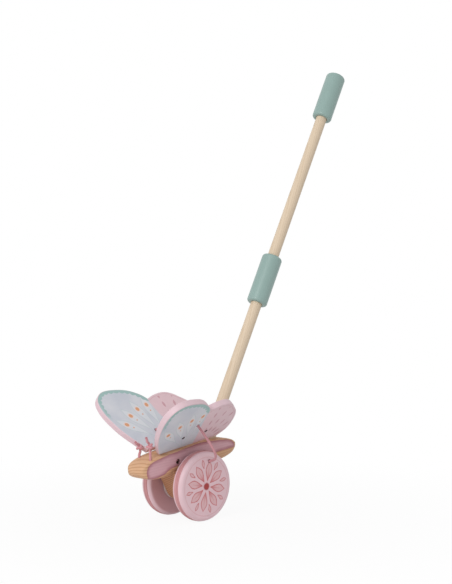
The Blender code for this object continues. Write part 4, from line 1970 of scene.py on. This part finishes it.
@dataclass
class Wheels:
    """Two painted wheels with rubber rings, the spacers beside them and the axle."""

    crank: Crank = Crank()
    radius: float = 42.9
    rim_round: float = 5.0
    groove_half: float = 3.4
    groove_depth: float = 2.2
    knot_recess: Pair = (4.0, 4.6)
    axle_bore: Pair = (4.3, 11.8)
    spacer: Pair = (16.8, 19.8)
    spacer_radius: float = 21.7

    def wheel_place(self, side: Side) -> Matrix:
        """A wheel's own frame, with Z outwards from the toy and Y straight up.

        Args:
            side: the wheel's side.

        Returns:
            The frame.
        """
        sign = side.value
        centre = (sign * self.crank.wheel_x, 0, 0)
        upright = facing((0, sign, 0), (0, 0, 1), (sign, 0, 0), centre)
        return upright @ Matrix.Rotation(-sign * math.radians(Stance.nose_down), 4, "Z")

    def profile(self) -> list[Pair]:
        """Half section from the outer face round to the inner face.

        Returns:
            The section's points.
        """
        side = self.radius - self.rim_round
        half = self.crank.wheel_half
        face = [(radius, half) for radius in (0.0, 12.0, 25.0)]
        top = arc((side, half - self.rim_round), self.rim_round, 90, 0, 10)
        low = arc((side, self.rim_round - half), self.rim_round, 0, -90, 10)
        floor = self.radius - self.groove_depth
        soft = 0.35
        groove = [(self.radius, self.groove_half + soft), (self.radius - soft, self.groove_half),
                  (floor, self.groove_half), (floor, -self.groove_half),
                  (self.radius - soft, -self.groove_half),
                  (self.radius, -self.groove_half - soft)]
        return face + top[:-1] + groove + low[1:] + [(25.0, -half), (0.0, -half)]

    def build_wheel(self, side: Side) -> None:
        """A wheel with its axle bore, crank hole and knot recess.

        Args:
            side: the wheel's side.
        """
        turn = math.radians(self.crank.angle - Stance.nose_down) * side.value
        centre = Vector((math.sin(turn), math.cos(turn), 0)) * self.crank.radius * MM
        hole = Matrix.Translation(centre)
        half = self.crank.wheel_half
        recess, depth = self.knot_recess
        bore, reach = self.axle_bore
        cutters = [
            drill(bore, -half - 1, reach - half),
            moved(drill(CORD_BORE, -12, 12, half, 0.5), hole),
            moved(drill(recess, -half - 1, depth - half), hole),
        ]
        wheel = settled(turned(self.profile(), 144), cutters)
        # Marks the crank hole's wall for painted shade in the hole.
        store(wheel, "bore", [(vert.co.xy - centre.xy).length < (CORD_BORE + 0.1) * MM
                              for vert in wheel.vertices])
        add_piece(f"{side.label}_wheel_disc", wheel, WHEEL_PAINT, self.wheel_place(side),
                  f"{side.label}_wheel", body="wheels")

    def build_ring(self, side: Side) -> None:
        """The rubber ring in the groove, with a fine seam on its outboard side.

        Args:
            side: the wheel's side.
        """
        thick = self.groove_half - FIT
        inside = self.radius - self.groove_depth + FIT
        crown, seam = RING_RADIUS, RING_RUBBER.seam
        outer = [(inside, thick), (crown - 0.9, thick), (crown - 0.25, thick - 0.35),
                 (crown - 0.05, seam + 0.3), (crown - 0.45, seam), (crown - 0.05, seam - 0.3),
                 (crown, 0.4), (crown, -seam), (crown - 0.25, 0.35 - thick),
                 (crown - 0.9, -thick), (inside, -thick)]
        ring = settled(turned(outer, 144), sharp=50)
        add_piece(f"{side.label}_rim_ring", ring, RING_RUBBER, self.wheel_place(side),
                  f"{side.label}_wheel_ring", body="wheels")

    def build_spacer(self, side: Side) -> None:
        """The pale disc between block and wheel.

        Args:
            side: the wheel's side.
        """
        low, high = sorted(side.value * x for x in self.spacer)
        disc = settled(turned(barrel(AXLE_BORE, self.spacer_radius, low, high, 0.5)))
        add_piece(f"{side.label}_spacer_disc", disc, SPACER_PAINT, ALONG_X,
                  f"{side.label}_spacer", body="chassis")

    def build(self) -> None:
        """Both sides, and the axle's finish."""
        for side in Side:
            self.build_wheel(side)
            self.build_ring(side)
            self.build_spacer(side)
        redress("axle", AXLE_METAL)


# Body and block

@dataclass
class Body:
    """The carved body with its stained panels, and the block that holds the axle."""

    tip: float = 80.9
    taper: Pair = (4.2, 4.3)
    half_height: float = 15.0
    half_width: float = 16.5
    middle: float = 34.15
    droop: float = 0.028
    sag: float = 0.00023
    top_round: Pair = (4.4, 2.6)
    low_round: float = 7.0
    low_round_nose: float = 2.8
    low_round_middle: float = 11.5
    low_round_span: Pair = (-62, 38)
    end_round: Pair = (9.5, 7.2)
    block_radius: float = 21.7
    block_lean: float = 23.0
    block_half: float = 16.2
    block_flare: float = 32.3
    block_lap: float = 5.0
    block_round: float = 1.4
    dowel_y: float = 13.0
    dowel_radius: float = 3.0
    dowel_bore: Pair = (12, 28.4)
    side_bore: float = 3.3
    panel: tuple[Pair, ...] = (
        (-1.69, 0.815), (-1.622, 0.943), (-1.495, 1.007), (-1.37, 1.038), (-1.2, 1.06),
        (-0.98, 1.081), (-0.6, 1.098), (0.375, 1.114), (0.97, 1.054), (1.491, 0.954),
        (1.684, 0.845), (1.744, 0.693), (1.532, 0.685), (0.874, 0.703), (-0.664, 0.694),
        (-1.056, 0.588), (-1.35, 0.548), (-1.61, 0.578), (-1.685, 0.67))

    def half_at(self, y: float) -> float:
        """Half the body's height at a place along it."""
        power = self.taper[0] if y < 0 else self.taper[1]
        return self.half_height * math.sqrt(max(0.0, 1 - abs(y / self.tip) ** power))

    def middle_at(self, y: float) -> float:
        """The height of the body's middle line."""
        return self.middle - self.droop * y - self.sag * y * y

    def section(self, y: float) -> list[Vector]:
        """The body's cross-section, round from the top of the left side.

        Args:
            y: the place along the body.

        Returns:
            The section's points.
        """
        steps, flats = 7, 8
        half = self.half_at(y)
        corner = self.end_round[0] if y < 0 else self.end_round[1]
        into_end = held((abs(y) - self.tip + corner) / corner)
        wide = self.half_width - corner * (1 - math.sqrt(1 - into_end ** 2))
        t = held((y - self.low_round_span[0]) / self.low_round_span[1])
        blend = t * t * (3 - 2 * t)
        low = self.low_round_nose + (self.low_round_middle - self.low_round_nose) * blend
        fit = min(1.0, 1.9 * half / (self.top_round[1] + low))
        top = self.top_round[1] * fit
        corners = ((1, 1, self.top_round[0], top, 90), (1, -1, self.low_round, low * fit, 0),
                   (-1, -1, self.low_round, low * fit, 270), (-1, 1, self.top_round[0], top, 180))
        arcs = []
        for right, up, across, high, start in corners:
            turns = [math.radians(start - 90 * i / steps) for i in range(steps + 1)]
            arcs.append([Vector((right * (wide - across) + across * math.cos(turn), y,
                                 self.middle_at(y) + up * (half - high)
                                 + high * math.sin(turn))) for turn in turns])
        ring = []
        for here, following in zip(arcs, arcs[1:] + arcs[:1]):
            ring += here
            ring += [here[-1].lerp(following[0], k / flats) for k in range(1, flats)]
        return ring

    def skin(self) -> Mesh:
        """The body's skin before its holes are cut.

        Returns:
            The mesh.
        """
        count = 84
        work = bmesh.new()
        reach = self.tip - 0.05
        rows = []
        for i in range(count + 1):
            ring = self.section(-reach * math.cos(math.pi * i / count))
            rows.append([work.verts.new(point * MM) for point in ring])
        for row, following in zip(rows, rows[1:]):
            stitch(work, row, following)
        work.faces.new(rows[0])
        work.faces.new(rows[-1])
        return close_mesh("body", work)

    def cutters(self, cords: Cords, stick: "Stick") -> list[Mesh]:
        """Side holes, cord channels, feeler holes, stick socket and dowel bores.

        Args:
            cords: the cords that run through the body.
            stick: the stick that stands in it.

        Returns:
            The cutters.
        """
        found = []
        for side in Side:
            for tie, (y, z) in cords.side_holes.items():
                hole = drill(self.side_bore, 11.5, 18.0, self.half_width, 0.45)
                across = facing((0, side.value, 0), (0, 0, 1), (side.value, 0, 0), (0, y, z))
                found.append(moved(hole, across))
                low, top = cords.channel(side, tie)
                channel = drill(CORD_BORE, 0.0, (top - low).length + 4)
                found.append(moved(channel, between(low, top)))
            x, y, z = cords.feelers[side][0]
            up = Matrix.Translation((x * MM, y * MM, 0))
            face = self.middle_at(y) + self.half_at(y)
            found.append(moved(drill(CORD_BORE, z - 0.5, 53.5, face, 0.3), up))
        socket = drill(stick.radius + FIT, stick.foot - 0.5, 90)
        found.append(moved(socket, stick.place()))
        for y in (-self.dowel_y, self.dowel_y):
            bore = drill(self.dowel_radius + FIT, *self.dowel_bore)
            found.append(moved(bore, Matrix.Translation((0, y * MM, 0))))
        return found

    def build_body(self, cords: Cords, stick: "Stick") -> None:
        """The body with its holes and the distance to its panel's outline.

        Args:
            cords: the cords that run through the body.
            stick: the stick that stands in it.
        """
        mesh = settled(self.skin(), self.cutters(cords, stick))
        closed = [*self.panel, self.panel[0]]
        run = smooth_run([(*point, 0.0) for point in closed], 5)[:-1]
        outline = np.array([point.xy for point in run]) * RING_RADIUS
        places = np.array([vert.co for vert in mesh.vertices]) / MM
        distance, _ = to_outline(places[:, 1:], outline)
        inside = inside_outline(places[:, 1:], outline)
        store(mesh, "panel", np.where(inside, -distance, distance))
        # Marks the side holes' walls for painted shade in the holes.
        side_hole_shade = np.zeros(len(places))
        for y, z in cords.side_holes.values():
            away = np.hypot(places[:, 1] - y, places[:, 2] - z)
            within = np.abs(places[:, 0]) < self.half_width - 0.9
            side_hole_shade = np.maximum(side_hole_shade, (away < self.side_bore + 0.2) & within)
        store(mesh, "bore", side_hole_shade)
        add_piece("carved_body", mesh, BODY_TIMBER, Matrix(), "body", body="chassis")

    def build_block(self) -> None:
        """The axle block: round below, flared up and fitted round the body's underside."""
        lean = math.radians(self.block_lean)
        turns = [-lean - (math.pi - 2 * lean) * i / 40 for i in range(41)]
        outline = [(self.block_radius * math.cos(t), self.block_radius * math.sin(t))
                   for t in turns]
        for i in range(25):
            y = self.block_flare * (i / 12 - 1)
            outline.append((y, self.middle_at(y) - self.half_at(y) + self.block_lap))
        outline = np.array(outline)[::-1]
        plate = Plate(outline, 2 * self.block_half, self.block_round, 4.0,
                      [Bore((0.0, 0.0), AXLE_BORE)])
        place = facing((0, 1, 0), (0, 0, 1), (1, 0, 0), (-self.block_half, 0, 0))
        seat = moved(self.skin(), place.inverted() @ Matrix.Translation((0, 0, -FIT * MM)))
        block = settled(plate.mesh(), [seat])
        # Its timber carries painted shade.
        add_piece("shaped_block", block, BLOCK_TIMBER_AND_SHADE, place, "axle_block", body="chassis")
        for node in ("front_dowel", "rear_dowel"):
            redress(node, DOWEL_TIMBER)


# Wings

@dataclass
class Wings:
    """Two printed wing boards, each drilled for its cords."""

    rounding: float = 1.1
    tie_bore: float = 2.2
    flap_depth: float = 5.6
    fore_lobe: tuple[Pair, ...] = (
        (-49, 0), (-57.8, 15), (-67.6, 35), (-73.8, 56), (-75.4, 72), (-72.5, 86),
        (-62.5, 95.5), (-48, 97), (-25, 91), (-9, 80), (-1, 69.5))
    hind_lobe: tuple[Pair, ...] = (
        (-1, 69.5), (12, 73), (27, 73), (38, 68), (47, 59), (57, 46.5), (62, 30),
        (60.5, 12), (49, 0))

    def outline(self) -> np.ndarray:
        """The wing's outline, anticlockwise.

        Returns:
            The outline, one point a row.
        """
        run = smooth_run([(*p, 0) for p in self.fore_lobe], 9)[:-1]
        run += smooth_run([(*p, 0) for p in self.hind_lobe], 9)
        return np.array([(p.x, p.y) for p in run])[::-1]

    def build(self, cords: Cords) -> None:
        """Both wings, on their hinge lines.

        Args:
            cords: the cords, which place the hinges and holes.
        """
        for side in Side:
            outward, _ = cords.wing_axes(side)
            along = Vector((0, 1, 0))
            place = facing(along, outward, along.cross(outward),
                           (side.value * cords.hinge_x, 0, cords.hinge_z))
            bores = [Bore(centre, self.tie_bore) for centre in cords.tie_holes.values()]
            bores.append(Bore(cords.flap_hole, CORD_BORE, self.flap_depth))
            plate = Plate(self.outline(), cords.wing_thickness, self.rounding, bores=bores)
            node = f"{side.label}_wing"
            add_piece(f"{node}_board", settled(plate.mesh(-side.value)), WING_PAINT, place,
                      node, body=node)


# Stick

@dataclass
class Stick:
    """The pushing stick in two halves, its sleeve and its grip."""

    radius: float = 7.6
    start: Triple = (0.0, 12.85, -2.04)
    lean: float = 35.69
    foot: float = 37.0
    joint: float = 289.0
    top: float = 607.8
    sleeve: Pair = (253.5, 324.2)
    grip: Pair = (550.6, 622.7)
    sleeve_radius: float = 13.9
    sleeve_round: float = 3.2
    rod_round: float = 0.8
    mouth_round: float = 0.6
    nut_bore: Triple = (4.9, -16.5, 4.0)
    screw_bore: Triple = (3.3, -4.0, 20.5)

    def place(self) -> Matrix:
        """The stick's own frame, Z running up along it."""
        tip = Matrix.Rotation(-math.radians(self.lean), 4, "X")
        return Matrix.Translation(Vector(self.start) * MM) @ tip

    def rod(self, start: float, end: float) -> Mesh:
        """A round rod with softened ends."""
        return turned(barrel(0.0, self.radius, start, end, self.rod_round), 64)

    def cover(self, start: float, end: float) -> list[Pair]:
        """The outside of a sleeve or grip, from its top down.

        Args:
            start: the lower end.
            end: the upper end.

        Returns:
            The outside's points.
        """
        inner = self.sleeve_radius - self.sleeve_round
        top = arc((inner, end - self.sleeve_round), self.sleeve_round, 90, 0, 8)
        low = arc((inner, start + self.sleeve_round), self.sleeve_round, 0, -90, 8)
        return top + low

    def build(self) -> None:
        """Rods, sleeve and grip, and the finish of the screw joint."""
        place = self.place()
        bore, soft = self.radius + FIT, self.mouth_round
        for node, start, end, (radius, low, high) in (
                ("lower_stick", self.foot, self.joint - 0.2, self.nut_bore),
                ("upper_stick", self.joint + 0.2, self.top, self.screw_bore)):
            cutter = drill(radius, self.joint + low, self.joint + high)
            add_piece(f"turned_{node}", settled(self.rod(start, end), [cutter]), STICK_TIMBER,
                      place, node, body="chassis")
        start, end = self.sleeve
        sleeve = self.cover(start, end) + [(bore + soft, start), (bore, start + soft),
                                           (bore, end - soft), (bore + soft, end)]
        start, end = self.grip
        grip = [(0.0, end)] + self.cover(start, end)
        grip += [(bore + soft, start), (bore, start + soft), (bore, self.top + 0.4),
                 (0.0, self.top + 0.4)]
        for node, profile in (("middle_sleeve", sleeve), ("grip", grip)):
            add_piece(f"painted_{node}", settled(turned(profile)), SAGE_PAINT, place, node,
                      body="chassis")
        redress("joining_screw", AXLE_METAL)
        redress("insert_nut", NUT_BRASS)


def main() -> None:
    """Builds the camera, the cords and then every other piece."""
    logging.basicConfig(level=logging.INFO, format="%(name)s: %(message)s")
    bpy.context.scene.view_settings.view_transform = "Standard"
    viewpoint = Viewpoint()
    viewpoint.build()
    cords = Cords()
    cords.build()
    stick = Stick()
    Wheels().build()
    body = Body()
    body.build_body(cords, stick)
    body.build_block()
    Wings().build(cords)
    stick.build()
    Studio().build(viewpoint)
    bpy.context.view_layer.update()


if __name__ == "__main__":
    main()
